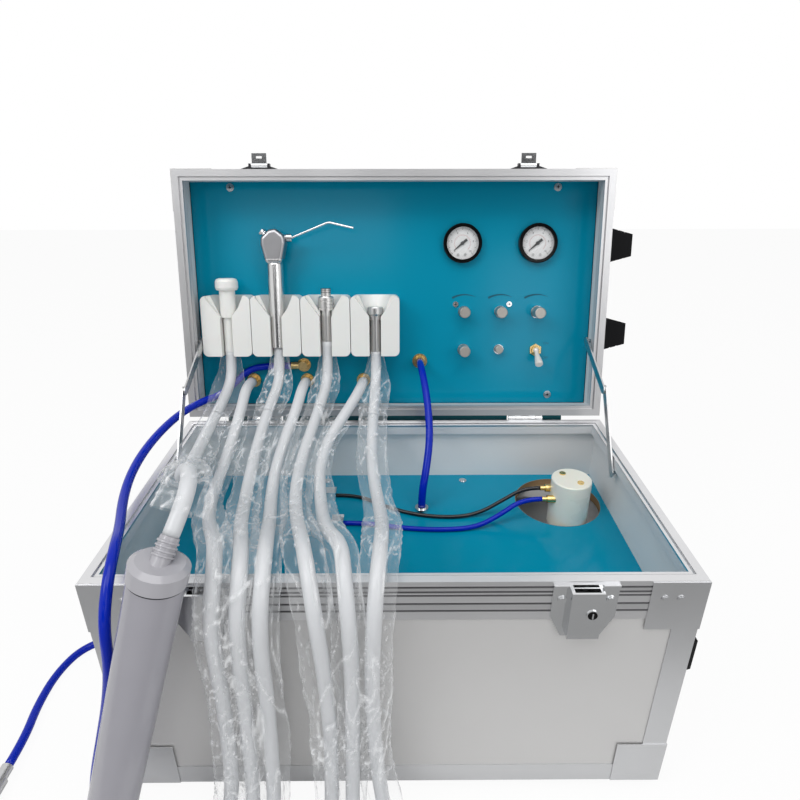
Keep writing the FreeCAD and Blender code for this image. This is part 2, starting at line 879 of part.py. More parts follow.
def panel_fittings():
    """Panel screws, knob collars, toggle nut, hose bulkheads and hose outlets."""
    pieces = []
    screw_y = (LID_START + 14.6, LID_START + S.case_depth - 12.6)
    for side in (-1, 1):
        for y in screw_y:
            pieces.append(dome((side * 181.3, y, PANEL), 4.4, Size.of(2.2)))
    for x in (70.3, 132.1):
        pieces.append(dome((x, S.knob_row + 8.4, PANEL), 3.2, Size.of(2.0)))
    for column, row, radius, rise in COLLARS:
        x = getattr(S, column)
        y = getattr(S, row)
        ring = cut(
            cylinder((x, y, PANEL), radius, rise),
            [cylinder((x, y, PANEL + 1), 3.3, rise)],
        )
        pieces.append(ring)
    button = cylinder((S.knob_second, S.button_row, PANEL), 5.6, 3.0)
    pieces.append(cut(button, [cylinder((S.knob_second, S.button_row, PANEL + 0.5), 4.9, 4)]))
    nut = padded("hex_nut", hexagon(7.4), 2.6)
    place(nut, (S.knob_third + 1.6, S.button_row - 1, PANEL))
    bush = cylinder((S.knob_third + 1.6, S.button_row - 1, PANEL), 4.6, 5.5)
    bore = cylinder((S.knob_third + 1.6, S.button_row - 1, PANEL + 1.5), 3.4, 6)
    pieces.append(cut(fuse([nut, bush]), [bore]))
    x, y = SUPPLY_OUTLET
    pieces.append(fuse([cylinder((x, y, PANEL), 8.6, 1.6), cylinder((x, y, PANEL), 5.6, 11)]))
    x, y = AIR_OUTLET
    arm = cylinder((x - 14, y, AIR_LEVEL), 4.6, 14, "x")
    pieces.append(fuse([cylinder((x, y, PANEL), 8.0, 1.6), cylinder((x, y, PANEL), 5.2, 12), arm]))
    for x, y in OUTLETS:
        flange = cylinder((x, y, PANEL), 8.0, 3)
        stem = cylinder((x, y, PANEL), 5.0, STEM)
        pieces.append(fuse([flange, stem]))
    on_lid(group(pieces), "panel_fittings")


def hexagon(radius):
    """Corner points of a hexagon across its corners."""
    points = []
    for i in range(6):
        angle = math.radians(60 * i + 30)
        points.append((round(radius * math.cos(angle), 4), round(radius * math.sin(angle), 4)))
    return points


def controls():
    """Four valve knobs, the push button and the toggle lever."""
    lengths = (13.5, 15.5, 19.0, 17.0)
    for i, (column, row, _, rise) in enumerate(COLLARS):
        length = lengths[i]
        knob = turned(
            "knob",
            stepped(
                [
                    (3.0, 1.3 - rise),
                    (3.0, 0.4),
                    (S.knob_radius - 0.5, 0.4),
                    (S.knob_radius, 1.2),
                    (S.knob_radius, length - 0.8),
                    (S.knob_radius - 0.8, length),
                ]
            ),
        )
        place(knob, (getattr(S, column), getattr(S, row), PANEL + rise))
        on_lid(group_one(knob), "knob_" + str(i + 1))
    push = turned("push_button", stepped([(4.6, 0), (4.6, 5.4), (3.8, 6.2)]))
    place(push, (S.knob_second, S.button_row, PANEL + 2.6))
    on_lid(group_one(push), "push_button")
    lever = turned("lever", stepped([(1.6, 1), (2.2, 4), (2.7, 9), (4.4, 20), (4.4, 23.2), (3.6, 24)]))
    turn(lever, X_AXIS, 35)
    place(lever, (S.knob_third + 1.6, S.button_row - 1, PANEL + 4.9))
    ball = doc.addObject("Part::Sphere", "Ball")
    bind(ball, "Radius", 3.3)
    place(ball, (S.knob_third + 1.6, S.button_row - 1, PANEL + 4.9))
    pin_hole = cylinder(
        (S.knob_third - 2.4, S.button_row - 1, PANEL + 4.9), 0.8, 8, "x"
    )
    on_lid(cut(fuse([lever, ball]), [pin_hole]), "toggle_lever")


def group_one(piece):
    """Wraps one placed piece so that the wrapper can be placed on the lid."""
    obj = doc.addObject("Part::Compound", "Set")
    obj.Links = [piece]
    return obj


def lid_catches():
    """Hasp hinge plates on the lid's front wall and the two hasps on them."""
    plates = []
    face = LID_START + S.case_depth
    for number, side in ((1, -1), (2, 1)):
        middle = side * 139.4
        plate = padded("hasp_plate", [(-21, 0), (21, 0), (11, 3.2), (-11, 3.2)], 22)
        place(plate, (middle, face, -25))
        gap = box((middle - 8.6, face - 1, -9.4), (17.2, 6, 8))
        pin = cylinder((middle - 9.4, face + 3.9, -5.4), 1.2, 18.8, "x")
        ears = []
        for way in (-1, 1):
            ears.append(box((middle + way * 9.9 - 1.1, face + 0.5, -8.4), (2.2, 5.4, 5.4)))
        plates.append(fuse([cut(plate, [gap]), pin] + ears))
        sleeve = cut(
            cylinder((middle - 8.2, face + 3.9, -5.4), 2.3, 16.4, "x"),
            [cylinder((middle - 9.2, face + 3.9, -5.4), 1.25, 18.4, "x")],
        )
        tongue = cut(
            box((middle - 7.6, face + 5.9, -6.2), (15.2, 10.2, 1.6)),
            [box((middle - 3, face + 11, -7), (6, 2.4, 3))],
        )
        on_lid(fuse([sleeve, tongue]), "hasp_" + str(number))
    on_lid(group(plates), "lid_catches")


def lid_feet():
    """Two ribbed rubber bumpers on the lid's right wall, beside the rim's skirt."""
    level = -(S.skirt_height + S.bumper_skirt_gap + S.bumper_depth)
    heights = (S.bumper_low, S.bumper_low + S.bumper_pitch)
    on_lid(group([side_foot(height, level) for height in heights]), "lid_feet")


# ---------------------------------------------------------------- lid stays


def stay_link(name, start, end, plane, side):
    """A flat link between two pivots in a plane of constant x, with rounded ends."""
    y0, z0 = start
    y1, z1 = end
    length = math.hypot(y1 - y0, z1 - z0)
    angle = math.degrees(math.atan2(z1 - z0, y1 - y0))
    half = S.stay_width.value / 2
    thick = S.stay_thickness.value
    bar = Part.makeBox(thick, length, half * 2, FreeCAD.Vector(0, 0, -half))
    eyes = []
    for reach in (0, length):
        eyes.append(Part.makeCylinder(half, thick, FreeCAD.Vector(0, reach, 0), X_AXIS))
    shape = bar.fuse(eyes).removeSplitter()
    shape.rotate(FreeCAD.Vector(0, 0, 0), X_AXIS, angle)
    shape.translate(FreeCAD.Vector(plane, y0, z0))
    return shape


def stays():
    """Folding stays, left and right: a lower link on the base, an upper on the lid."""
    base_pivot = (
        (AXIS_Y - S.stay_base_reach).value,
        (S.rim_height - S.stay_base_drop).value,
    )
    lean = math.radians(S.lean_angle.value)
    out = S.stay_lid_w.value
    lid_pivot = (
        AXIS_Y.value + S.stay_lid_v.value * math.sin(lean) + out * math.cos(lean),
        AXIS_Z.value + S.stay_lid_v.value * math.cos(lean) - out * math.sin(lean),
    )
    knee = ((AXIS_Y - S.knee_reach).value, (AXIS_Z + S.knee_rise).value)
    wall = (HALF_WIDTH - WALL_IN).value
    thick = S.stay_thickness.value
    pin = S.stay_pin_radius.value
    for side, hand in ((-1, "left"), (1, "right")):
        outer = wall - S.stay_wall_gap.value
        inner = outer - thick - S.stay_gap.value
        for name, pivot, depth in (("lower", base_pivot, outer), ("upper", lid_pivot, inner)):
            low = depth if side > 0 else -depth - thick
            link = stay_link(name, pivot, knee, low, side)
            reach = wall - 0.3 - depth - thick
            root = depth + thick if side > 0 else -wall + 0.3
            post = Part.makeCylinder(pin, reach, FreeCAD.Vector(root, *pivot), X_AXIS)
            feature = doc.addObject("Part::Feature", "Stay")
            feature.Shape = link.fuse(post).removeSplitter()
            name_it(feature, "stay_" + name + "_" + hand)


# ---------------------------------------------------------------- instruments


def holder_x(number):
    return S.holder_first + S.holder_pitch * number


TOOL_LEVEL = PANEL + S.bore_depth


def along(profile, label, middle, start):
    """A turned tool whose axis lies along the lid's y, from the height start."""
    tool = turned(label, profile)
    turn(tool, X_AXIS, -90)
    return place(tool, (middle, start, TOOL_LEVEL))


def saliva_ejector():
    """White valve body with a mushroom cap and a slimmer tail."""
    profile = stepped(
        [
            (5.8, 0),
            (6.0, 1.5),
            (6.0, 39),
            (8.6, 39),
            (8.6, 68.5),
            (11.2, 69),
            (12.4, 71.5),
            (12.4, 78),
            (11.0, 81),
            (8.0, 82),
        ]
    )
    on_lid(group_one(along(profile, "ejector", holder_x(0), 73.0)), "saliva_ejector")


HEAD_START = 170.2
NOZZLE_RISE = 27.8
NOZZLE_HEIGHT = HEAD_START + NOZZLE_RISE
NOZZLE_REACH = 14.8
BUTTON_SPOTS = ((-9.6, 31.6, -4.8), (-9.6, 31.6, 4.8))
BUTTON_LEAN = 48.0


def softened(body, upright_radius, rim_radius):
    """Rounds a padded body's upright edges, then the edges round its two faces."""
    doc.recompute()
    pad = body.Tip
    last = pad
    for step, radius in (("Uprights", upright_radius), ("Rims", rim_radius)):
        chosen = []
        for i, edge in enumerate(last.Shape.Edges):
            ends = [v.Point for v in edge.Vertexes]
            rising = len(ends) == 2 and abs(ends[0].z - ends[1].z) > 0.01
            if rising == (step == "Uprights"):
                chosen.append("Edge" + str(i + 1))
        rounding = body.newObject("PartDesign::Fillet", step)
        rounding.Base = (last, chosen)
        bind(rounding, "Radius", radius)
        body.Tip = rounding
        doc.recompute()
        last = rounding
    return body


def syringe():
    """Three-way syringe: handle with its head, two buttons, and the bent nozzle."""
    middle = holder_x(1)
    handle = along(
        stepped([(8.4, 0), (8.9, 0.6), (8.9, 92), (8.4, 93.5)]), "syringe_handle", middle, 78.0
    )
    head = padded(
        "syringe_head",
        [(-8.6, 0), (8.6, 0), (13.6, 22), (12.4, 30), (3.0, 37.5), (-5, 36.0), (-13.2, 28), (-13.6, 21)],
        20,
    )
    head = softened(head, 5.0, 4.2)
    place(head, (middle, HEAD_START, TOOL_LEVEL - 10))
    spigot = cylinder((middle + 6, NOZZLE_HEIGHT, TOOL_LEVEL), 3.6, NOZZLE_REACH - 6.6, "x")
    seats = []
    for spot in BUTTON_SPOTS:
        seats.append(button_at(spot, 4.4, 1.4, -6.0))
    bores = []
    for spot in BUTTON_SPOTS:
        bores.append(button_at(spot, 2.5, 9.6, -8.6))
    hollow = cylinder((middle + NOZZLE_REACH - 6.8, NOZZLE_HEIGHT, TOOL_LEVEL), 2.2, 7, "x")
    body = cut(fuse([handle, head, spigot] + seats), bores + [hollow])
    on_lid(body, "syringe_body")
    for name, spot in zip(("air_button", "water_button"), BUTTON_SPOTS):
        stem = button_at(spot, 2.2, 8.6, -6.6)
        crown = button_at(spot, 4.0, 2.2, 2.0)
        on_lid(fuse([stem, crown]), name)
    nozzle(middle)




def button_at(spot, radius, length, sink):
    """A round piece on the head's upper left slope; sink is where it starts."""
    lean = math.radians(BUTTON_LEAN)
    x = holder_x(1) + spot[0] - sink * math.sin(lean)
    y = HEAD_START + spot[1] + sink * math.cos(lean)
    piece = cylinder((x, y, TOOL_LEVEL + spot[2]), radius, length)
    axis = FreeCAD.Rotation(Z_AXIS, FreeCAD.Vector(-math.sin(lean), math.cos(lean), 0))
    piece.Placement.Rotation = axis
    return piece


def nozzle(middle):
    """Bent spray nozzle with its knurled nut, which swivels in the head's spigot."""
    start = FreeCAD.Vector((middle + NOZZLE_REACH).value, NOZZLE_HEIGHT, TOOL_LEVEL.value)
    neck = start + FreeCAD.Vector(4, 0, 0)
    forward = math.radians(13)

    def heading(climb):
        """The way of one straight stretch: a climb along the lid, turned forward out of it."""
        flat = math.cos(math.radians(climb))
        return FreeCAD.Vector(
            flat * math.cos(forward), math.sin(math.radians(climb)), flat * math.sin(forward)
        )

    bend = neck + heading(20) * 46.2
    tip = bend + heading(-13) * 28.7
    tube = rod([start, neck, bend, tip], 2.4, 3.0)
    nut = Part.makeCylinder(4.4, 5.6, FreeCAD.Vector(start.x - 0.6, start.y, start.z), X_AXIS)
    stub = Part.makeCylinder(2.1, 5.4, FreeCAD.Vector(start.x - 5.6, start.y, start.z), X_AXIS)
    feature = doc.addObject("Part::Feature", "Nozzle")
    feature.Shape = tube.fuse([nut, stub]).removeSplitter()
    on_lid(feature, "syringe_nozzle")


def coupling(number, profile, start):
    on_lid(
        group_one(along(profile, "coupling", holder_x(number), start)), "coupling_" + str(number + 1)
    )


def couplings():
    """Handpiece couplings: one with its thread bare, one with a plain collar."""
    ribbed = [(5.8, 0), (5.9, 2), (5.9, 34.9)]
    for i in range(4):
        base = 34.9 + i * 3.6
        ribbed.extend([(8.9, base), (8.9, base + 2.6), (8.4, base + 2.8), (8.4, base + 3.4)])
    ribbed.extend([(8.0, 49.9), (5.6, 50.4), (5.6, 58.8)])
    coupling(2, stepped(ribbed), 84.8)
    plain = [(5.75, 0), (5.75, 36), (7.8, 36), (8.0, 40.5), (8.8, 42.5), (8.9, 49.2), (8.4, 50)]
    coupling(3, stepped(plain), 73.0)


# ---------------------------------------------------------------- hoses and tubes


def rod(points, diameter, longest=1000.0):
    """A round tube along straight runs, with arcs as large as the runs or a limit allow."""
    edges = []
    here = points[0]
    radii = []
    for i in range(1, len(points) - 1):
        before = (points[i - 1] - points[i])
        after = (points[i + 1] - points[i])
        short = min(before.Length, after.Length)
        before.normalize()
        after.normalize()
        half_turn = (math.pi - before.getAngle(after)) / 2
        reach = min(0.45 * short, longest)
        radius = reach / math.tan(half_turn)
        radii.append(radius)
        first = points[i] + before * reach
        last = points[i] + after * reach
        inward = before + after
        inward.normalize()
        centre_gap = math.hypot(radius, reach)
        middle = points[i] + inward * (centre_gap - radius)
        edges.append(Part.LineSegment(here, first).toShape())
        edges.append(Part.Arc(first, middle, last).toShape())
        here = last
    edges.append(Part.LineSegment(here, points[-1]).toShape())
    wire = Part.Wire(edges)
    way = points[1] - points[0]
    ring = Part.Wire([Part.makeCircle(diameter / 2, points[0], way)])
    tube = wire.makePipeShell([ring], True, True)
    expected = math.pi * diameter * diameter / 4 * wire.Length
    rod.report = (min(radii), wire.Length, tube.Volume / expected)
    return tube


def cord(label, points, size):
    """A free hose or tube through route points, as a node of its own."""
    spots = [FreeCAD.Vector(*point) for point in points]
    feature = doc.addObject("Part::Feature", "Cord")
    feature.Shape = rod(spots, size.value)
    radius, length, ratio = rod.report
    print(
        label, "smallest radius", round(radius, 1), "length", round(length), "volume ratio", round(ratio, 4)
    )
    name_it(feature, label)


def lid_spot(x, y, z):
    """World place of a point of the lid's tray frame."""
    lean = math.radians(S.lean_angle.value)
    return (
        x,
        AXIS_Y.value + y * math.sin(lean) - z * math.cos(lean),
        AXIS_Z.value + y * math.cos(lean) + z * math.sin(lean),
    )


AIR_OUTLET = (-106.9, 54.5)
SUPPLY_OUTLET = (29.2, 58.8)
OUTLETS = ((-166.0, 36.6), (-103.3, 36.6), (-37.1, 36.6))
STEM = 15.0
TOOL_BOTTOM = (73.0, 78.0, 84.8, 73.0)
FLOOR = 6.2
TOOL_RUN = 52.6
PORT_RUN = 26.0

# heights of a hose over its way out: from under its holder, over the base and the front
# rim, down the front and out on the floor
WAY_OUT = (
    (156.2, 266.3),
    (127.7, 256.8),
    (98.0, 243.0),
    (62.0, 230.0),
    (22.0, 223.0),
    (-22.0, 226.0),
    (-68.0, 239.0),
    (-116.0, 258.0),
    (-142.0, 250.0),
    (-158.0, 228.0),
    (-159.0, 190.0),
    (-155.0, 148.0),
    (-156.0, 104.0),
    (-158.0, 66.0),
    (-162.0, 32.0),
    (-186.0, 7.5),
)

# heights of a hose over its way back: up the front, over the rim and to the panel
WAY_BACK = (
    (-186.0, 7.5),
    (-162.0, 32.0),
    (-158.0, 66.0),
    (-156.0, 104.0),
    (-155.0, 148.0),
    (-159.0, 190.0),
    (-158.0, 228.0),
    (-142.0, 250.0),
    (-116.0, 258.0),
    (-80.0, 242.0),
    (-42.0, 227.0),
    (2.0, 218.0),
    (48.0, 222.0),
    (86.0, 238.0),
    (117.0, 258.0),
)


def lane(places, way):
    """Route points of one hose strand: where it lies sideways at each height."""
    return [(x, y, z) for x, (y, z) in zip(places, way)]


def hose(label, number, out, loop, back, port):
    """Instrument hose: from its tool to a loop on the floor and back to the panel."""
    level = TOOL_LEVEL.value
    middle = holder_x(number).value
    start = [lid_spot(middle, TOOL_BOTTOM[number], level), lid_spot(middle, TOOL_RUN, level)]
    stem = PANEL.value + STEM
    end = [lid_spot(*port, stem + PORT_RUN), lid_spot(*port, stem)]
    turns = [(x, y, FLOOR) for x, y in loop]
    points = start + lane(out, WAY_OUT) + turns + lane(back, WAY_BACK) + end
    cord(label, points, S.hose_diameter)


def hoses():
    """The three long instrument hoses."""
    hose(
        "hose_2",
        1,
        (-133, -137, -141, -143, -141, -135, -126, -112, -108, -109, -111, -113, -114, -115, -116, -117),
        (
            (-119, -218),
            (-119.5, -250),
            (-120, -278),
            (-143.4, -301.4),
            (-176.6, -301.4),
            (-200, -278),
            (-199, -245),
            (-170, -214),
        ),
        (-146, -134, -131, -130, -129, -128, -127, -126, -131, -146, -161, -172, -173, -170, -166),
        OUTLETS[0],
    )
    hose(
        "hose_3",
        2,
        (-78, -82, -88, -94, -95, -89, -79, -67, -60, -55, -52, -51, -50, -51, -52, -53),
        (
            (-50, -214),
            (-27, -245),
            (-27, -278),
            (-50.4, -301.4),
            (-83.6, -301.4),
            (-107, -278),
            (-107, -245),
            (-103, -214),
        ),
        (-101, -99, -98, -97, -96, -95, -93, -92, -94, -101, -108, -116, -120, -115, -106),
        OUTLETS[1],
    )
    hose(
        "hose_4",
        3,
        (-22, -23, -24, -24, -20, -14, -10, -10, -12, -14, -16, -17, -16, -14, -10, -3),
        (
            (12, -212),
            (40, -226),
            (64, -250),
            (67, -283),
            (43.6, -306.4),
            (10.4, -306.4),
            (-13, -283),
            (-13, -250),
            (-25, -218),
        ),
        (-34, -35, -34, -33, -32, -31, -32, -35, -39, -53, -62, -70, -76, -69, -49),
        OUTLETS[2],
    )


def short_hoses():
    """Ejector hose to the canister, air feed hose and the hose that feeds the deck."""
    level = TOOL_LEVEL.value
    cord(
        "hose_1",
        [
            lid_spot(holder_x(0).value, TOOL_BOTTOM[0], level),
            lid_spot(holder_x(0).value, TOOL_RUN, level),
            (-188, 156.2, 266.3),
            (-191, 128, 257),
            (-194, 96, 249),
            (-194, 55, 246),
            (-188, 8, 251),
            (-179, -34, 265),
            (-167, -68, 286),
            (-153, -92, 307),
            (-141, -114, 318),
            tuple(BARB_TOP + BARB_AXIS * 25),
            tuple(BARB_TOP),
        ],
        S.hose_diameter,
    )
    elbow = lid_spot(AIR_OUTLET[0] - 14.0, AIR_OUTLET[1], AIR_LEVEL)
    cord(
        "air_hose",
        [
            elbow,
            (-144, elbow[1], elbow[2]),
            (-170, 183, 277),
            (-186, 172, 263),
            (-199, 154, 256),
            (-212, 132, 259),
            (-225, 102, 260),
            (-234, 66, 258),
            (-238, 26, 255),
            (-236, -12, 252),
            (-228, -48, 250),
            (-212, -90, 254),
            (-200, -124, 262),
            (-196, -150, 252),
            (-196, -166, 230),
            (-201, -164, 190),
            (-212, -160, 150),
            (-226, -158, 108),
            (-240, -157, 66),
            (-250, -154, 30),
            (-258, -132, 6),
            (-262, -96, 4.2),
            (-262, -52, 4.2),
            (-266, -8, 4.2),
            (-284, 28, 4.2),
            (-318, 42, 4.2),
            (-350, 26, 4.2),
            (-362, -8, 4.2),
            (-361, -48, 4.4),
            (-352, -86, 7.2),
            (-352, -112, 7.2),
        ],
        S.air_diameter,
    )
    cord(
        "supply_hose",
        [
            lid_spot(*SUPPLY_OUTLET, PANEL.value + 11.0),
            lid_spot(*SUPPLY_OUTLET, PANEL.value + 33.0),
            (33, 134, 277),
            (36, 110, 258),
            (37, 88, 235),
            (33, 69, 211),
            (28, 56.5, 188),
            (28, 56.5, 172),
        ],
        S.air_diameter,
    )


def deck_tubes():
    """Two thin tubes that lie on the deck and rise to the fittings of the bottle cap."""
    deck_top = (S.rim_height - S.deck_drop).value
    end = (BOTTLE_X - S.cap_radius).value - 10.0
    cord(
        "black_tube",
        [
            (-64, 82, deck_top + 2.1),
            (-40, 82, deck_top + 2.1),
            (-10, 60, deck_top + 2.1),
            (22, 45, deck_top + 2.1),
            (60, 40, deck_top + 2.1),
            (88, 46, deck_top + 3.5),
            (112, 50, deck_top + 17),
            (133, 52, deck_top + 30),
            (end, 52, deck_top + 30),
        ],
        S.small_tube_diameter,
    )
    cord(
        "blue_tube",
        [
            (-52, 31, deck_top + 2.6),
            (-28, 31, deck_top + 2.6),
            (8, 22, deck_top + 2.6),
            (46, 19, deck_top + 2.6),
            (80, 22, deck_top + 2.8),
            (104, 30, deck_top + 11),
            (130, 41, deck_top + 24),
            (end, 41, deck_top + 24),
        ],
        S.tube_diameter,
    )


# ---------------------------------------------------------------- waste canister

CANISTER_TOP = FreeCAD.Vector(-150, -163, 282)
CANISTER_AXIS = FreeCAD.Vector(0.296, 0.122, 1).normalize()
CANISTER_LENGTH = 284.0
BARB_AXIS = FreeCAD.Vector(0.30, 0.62, 0.72).normalize()
BARB_LENGTH = 16.0
BARB_TOP = CANISTER_TOP + BARB_AXIS * BARB_LENGTH


def tilted(piece, at, axis):
    """Stands a turned piece at a point along an axis."""
    piece.Placement = FreeCAD.Placement(at, FreeCAD.Rotation(Z_AXIS, axis))
    return piece


def canister():
    """Waste canister that leans beside the case, and its cap with an angled barb."""
    radius = S.canister_radius
    cap = S.canister_cap_radius
    plug = radius - 2.6
    lid = turned("canister_cap", stepped([(plug, -22), (plug, -14), (cap, -14), (cap, -3), (cap - 4, 0)]))
    ribs = [(6.4, -6.0)]
    for i in range(4):
        level = 2.5 + i * 3.0
        ribs.extend([(6.4, level), (7.4, level + 0.3), (7.4, level + 1.5), (6.4, level + 1.8)])
    barb = turned("barb", stepped(ribs + [(6.4, BARB_LENGTH)]))
    tube = turned(
        "canister_body",
        stepped([(radius - 4, -CANISTER_LENGTH), (radius - 1, 2 - CANISTER_LENGTH), (radius, -40), (radius, -14)]),
    )
    hollow = turned("canister_hollow", stepped([(plug + 0.1, -26), (plug + 0.1, -13)]))
    tilted(lid, CANISTER_TOP, CANISTER_AXIS)
    tilted(barb, CANISTER_TOP, BARB_AXIS)
    tilted(tube, CANISTER_TOP, CANISTER_AXIS)
    tilted(hollow, CANISTER_TOP, CANISTER_AXIS)
    name_it(fuse([lid, barb]), "canister_cap")
    name_it(cut(tube, [hollow]), "canister_body")


def air_connector():
    """Quick connector on the free end of the air hose, lying on the floor."""
    rotation = FreeCAD.Rotation(X_AXIS, 90)
    plug = turned(
        "air_connector",
        stepped([(4.1, 0), (5.2, 1), (5.2, 12), (7.0, 13), (7.0, 30), (6.2, 31), (6.2, 36), (4.4, 37), (4.4, 44)]),
    )
    plug.Placement = FreeCAD.Placement(FreeCAD.Vector(-352, -112, 7.2), rotation)
    name_it(plug, "air_connector")


base_shell()
lid_shell()
rim("base_rim", BASE_START, (5.3, 9.7, 13.0, 20.8, 27.6), on_base)
rim("lid_rim", LID_START, (5.3, 9.7, 13.0, 20.8, 27.6), on_lid)
edges("base_edges", BASE_START, BASE_HEIGHT, on_base)
edges("lid_edges", LID_START, S.lid_depth, on_lid, back_strips())
base_feet()
deck()
water_bottle()
cap_fittings()
lock_bodies()
hinges()
carry_handle()
control_panel()
for holder_number in range(4):
    tool_holder(holder_number)
gauges()
panel_fittings()
controls()
lid_catches()
lid_feet()
stays()
saliva_ejector()
syringe()
couplings()
hoses()
short_hoses()
deck_tubes()
canister()
air_connector()

doc.recompute()
for node in NODES:
    if "Invalid" in node.State or "Error" in node.State or node.Shape.isNull() or not node.Shape.isValid():
        raise RuntimeError(node.Label + " did not build")
    node.Shape.exportStep("parts/" + node.Label + ".step")
print(len(NODES), "nodes")
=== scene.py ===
# %% [markdown]
# # A portable dental unit
# This is a small dental treatment centre built into an aluminium carrying case. The lid stands open on two
# folding stays and carries a glossy panel with gauges, valves and four instrument holders. The hoses hang
# from the tools, run over the front of the case and lie on the floor. The rigid parts come from the packed
# frame; this script dresses them with finishes, hoses, film, printed scales, knurls and screw crosses.

# %% Load the rigid frame
import json
import math

import bpy
from mathutils import Matrix, Vector, noise

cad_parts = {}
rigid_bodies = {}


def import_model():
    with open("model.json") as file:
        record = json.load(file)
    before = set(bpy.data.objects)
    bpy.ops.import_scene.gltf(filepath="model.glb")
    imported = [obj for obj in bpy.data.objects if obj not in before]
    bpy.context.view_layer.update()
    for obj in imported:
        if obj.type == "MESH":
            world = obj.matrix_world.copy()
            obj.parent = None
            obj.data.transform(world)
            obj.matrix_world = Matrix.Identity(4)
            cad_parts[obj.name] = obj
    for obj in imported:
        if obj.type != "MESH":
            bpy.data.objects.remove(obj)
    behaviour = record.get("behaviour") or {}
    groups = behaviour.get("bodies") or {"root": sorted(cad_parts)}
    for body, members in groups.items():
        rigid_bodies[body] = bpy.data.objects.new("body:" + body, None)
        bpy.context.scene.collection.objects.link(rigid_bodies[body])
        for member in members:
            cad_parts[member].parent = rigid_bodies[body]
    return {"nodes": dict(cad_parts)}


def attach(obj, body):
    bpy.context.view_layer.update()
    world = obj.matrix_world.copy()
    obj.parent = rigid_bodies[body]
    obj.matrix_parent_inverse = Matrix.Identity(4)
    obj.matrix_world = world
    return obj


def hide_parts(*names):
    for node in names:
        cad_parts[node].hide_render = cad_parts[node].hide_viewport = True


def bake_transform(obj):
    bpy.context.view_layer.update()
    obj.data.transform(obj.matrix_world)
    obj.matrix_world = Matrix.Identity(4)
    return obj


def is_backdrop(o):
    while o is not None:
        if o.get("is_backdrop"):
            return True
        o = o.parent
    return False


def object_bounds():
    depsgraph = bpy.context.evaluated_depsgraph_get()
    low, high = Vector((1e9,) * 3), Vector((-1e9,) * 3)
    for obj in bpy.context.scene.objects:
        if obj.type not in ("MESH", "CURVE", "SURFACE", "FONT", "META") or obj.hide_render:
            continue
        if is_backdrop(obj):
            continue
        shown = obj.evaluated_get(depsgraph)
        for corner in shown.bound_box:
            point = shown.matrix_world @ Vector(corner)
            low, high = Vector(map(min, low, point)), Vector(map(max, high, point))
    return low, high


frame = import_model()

NODES = frame["nodes"]
CAD_LOW, CAD_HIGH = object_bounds()

# %% [markdown]
# ## The camera
# The case is seen from above its front edge, looking slightly down, so that the deck inside the base shows as
# well as the panel in the lid. The lens isn't shifted, so any other view works with the same camera data.

# %% Place the camera
camera_data = bpy.data.cameras.new("camera")
camera_data.lens = 26.999
camera_data.sensor_width = 36.0
camera_data.clip_start = 0.01
camera = bpy.data.objects.new("camera", camera_data)
camera.location = (0.002082, -0.470981, 0.536546)
camera.rotation_euler = [math.radians(a) for a in (65.326, 0.032, -0.352)]
bpy.context.scene.collection.objects.link(camera)
bpy.context.scene.camera = camera
print("camera at", tuple(round(c, 3) for c in camera.location))

# %% [markdown]
# ## The lid's own directions
# The lid leans back by twelve degrees, so a place on its panel is easier to name in the lid's own frame: u
# across, v up along the panel, w out of the panel's recess. One function turns such a place, in millimetres,
# into a point of the room. The lid's own middle is as far from the hinge line as the base's.

# %% Name places on the lid
MM = 0.001
LEAN = math.radians(12)
HINGE_REACH = 0.1344
HINGE = Vector((0, HINGE_REACH, 0.2353))
LID_U = Vector((1, 0, 0))
LID_V = Vector((0, math.sin(LEAN), math.cos(LEAN)))
LID_W = Vector((0, -math.cos(LEAN), math.sin(LEAN)))
PANEL = -45.0


def lid_spot(u, v, w):
    return HINGE + (LID_U * u + LID_V * v + LID_W * w) * MM


def metres(points):
    """Points that are given in millimetres."""
    return [Vector(point) * MM for point in points]


LID_FRAME = Matrix((LID_U, LID_V, LID_W)).transposed().to_4x4()
LID_FRAME.translation = HINGE
print("panel centre", tuple(round(c, 3) for c in lid_spot(0, 131, PANEL)))

# %% [markdown]
# ## Shader maths as Python
# A finish is a small sum: a base colour, plus a little noise, times a mask. Blender writes each step as a
# node, which is slow to read. The first class wraps one socket, so that the usual operators add Math nodes.
# The next one adds any other node, with its settings first and its sockets next.


# %% Wrap a socket
class Wire:
    def __init__(self, tree, socket):
        self.tree = tree
        self.socket = socket

    def math(self, operation, *others):
        inputs = dict(enumerate((self, *others)))
        return self.tree.node("ShaderNodeMath", {"operation": operation}, inputs)

    def __add__(self, other):
        return self.math("ADD", other)

    def __sub__(self, other):
        return self.math("SUBTRACT", other)

    def __rsub__(self, other):
        return (self * -1.0) + other

    def __mul__(self, other):
        return self.math("MULTIPLY", other)

    def __truediv__(self, other):
        return self.math("DIVIDE", other)

    def __pow__(self, other):
        return self.math("POWER", other)

    def __abs__(self):
        return self.math("ABSOLUTE")

    def above(self, edge):
        return self.math("GREATER_THAN", edge)

    def near(self, middle, reach):
        return (abs(self - middle) * -1.0).above(-reach)

    def clamp(self):
        return self.math("MINIMUM", 1.0).math("MAXIMUM", 0.0)

    __radd__ = __add__
    __rmul__ = __mul__


# %% Add nodes to a tree
class Tree:
    """Any node tree: one method adds a node, its settings first and its sockets next."""

    def node(self, kind, settings=None, inputs=None, output=0):
        made = self.tree.nodes.new(kind)
        for name, value in (settings or {}).items():
            setattr(made, name, value)
        for name, value in (inputs or {}).items():
            self.feed(made.inputs[name], value)
        return Wire(self, made.outputs[output])

    def feed(self, socket, value):
        if isinstance(value, Wire):
            self.tree.links.new(value.socket, socket)
        elif socket.type == "RGBA":
            socket.default_value = (*value[:3], 1.0)
        else:
            socket.default_value = value


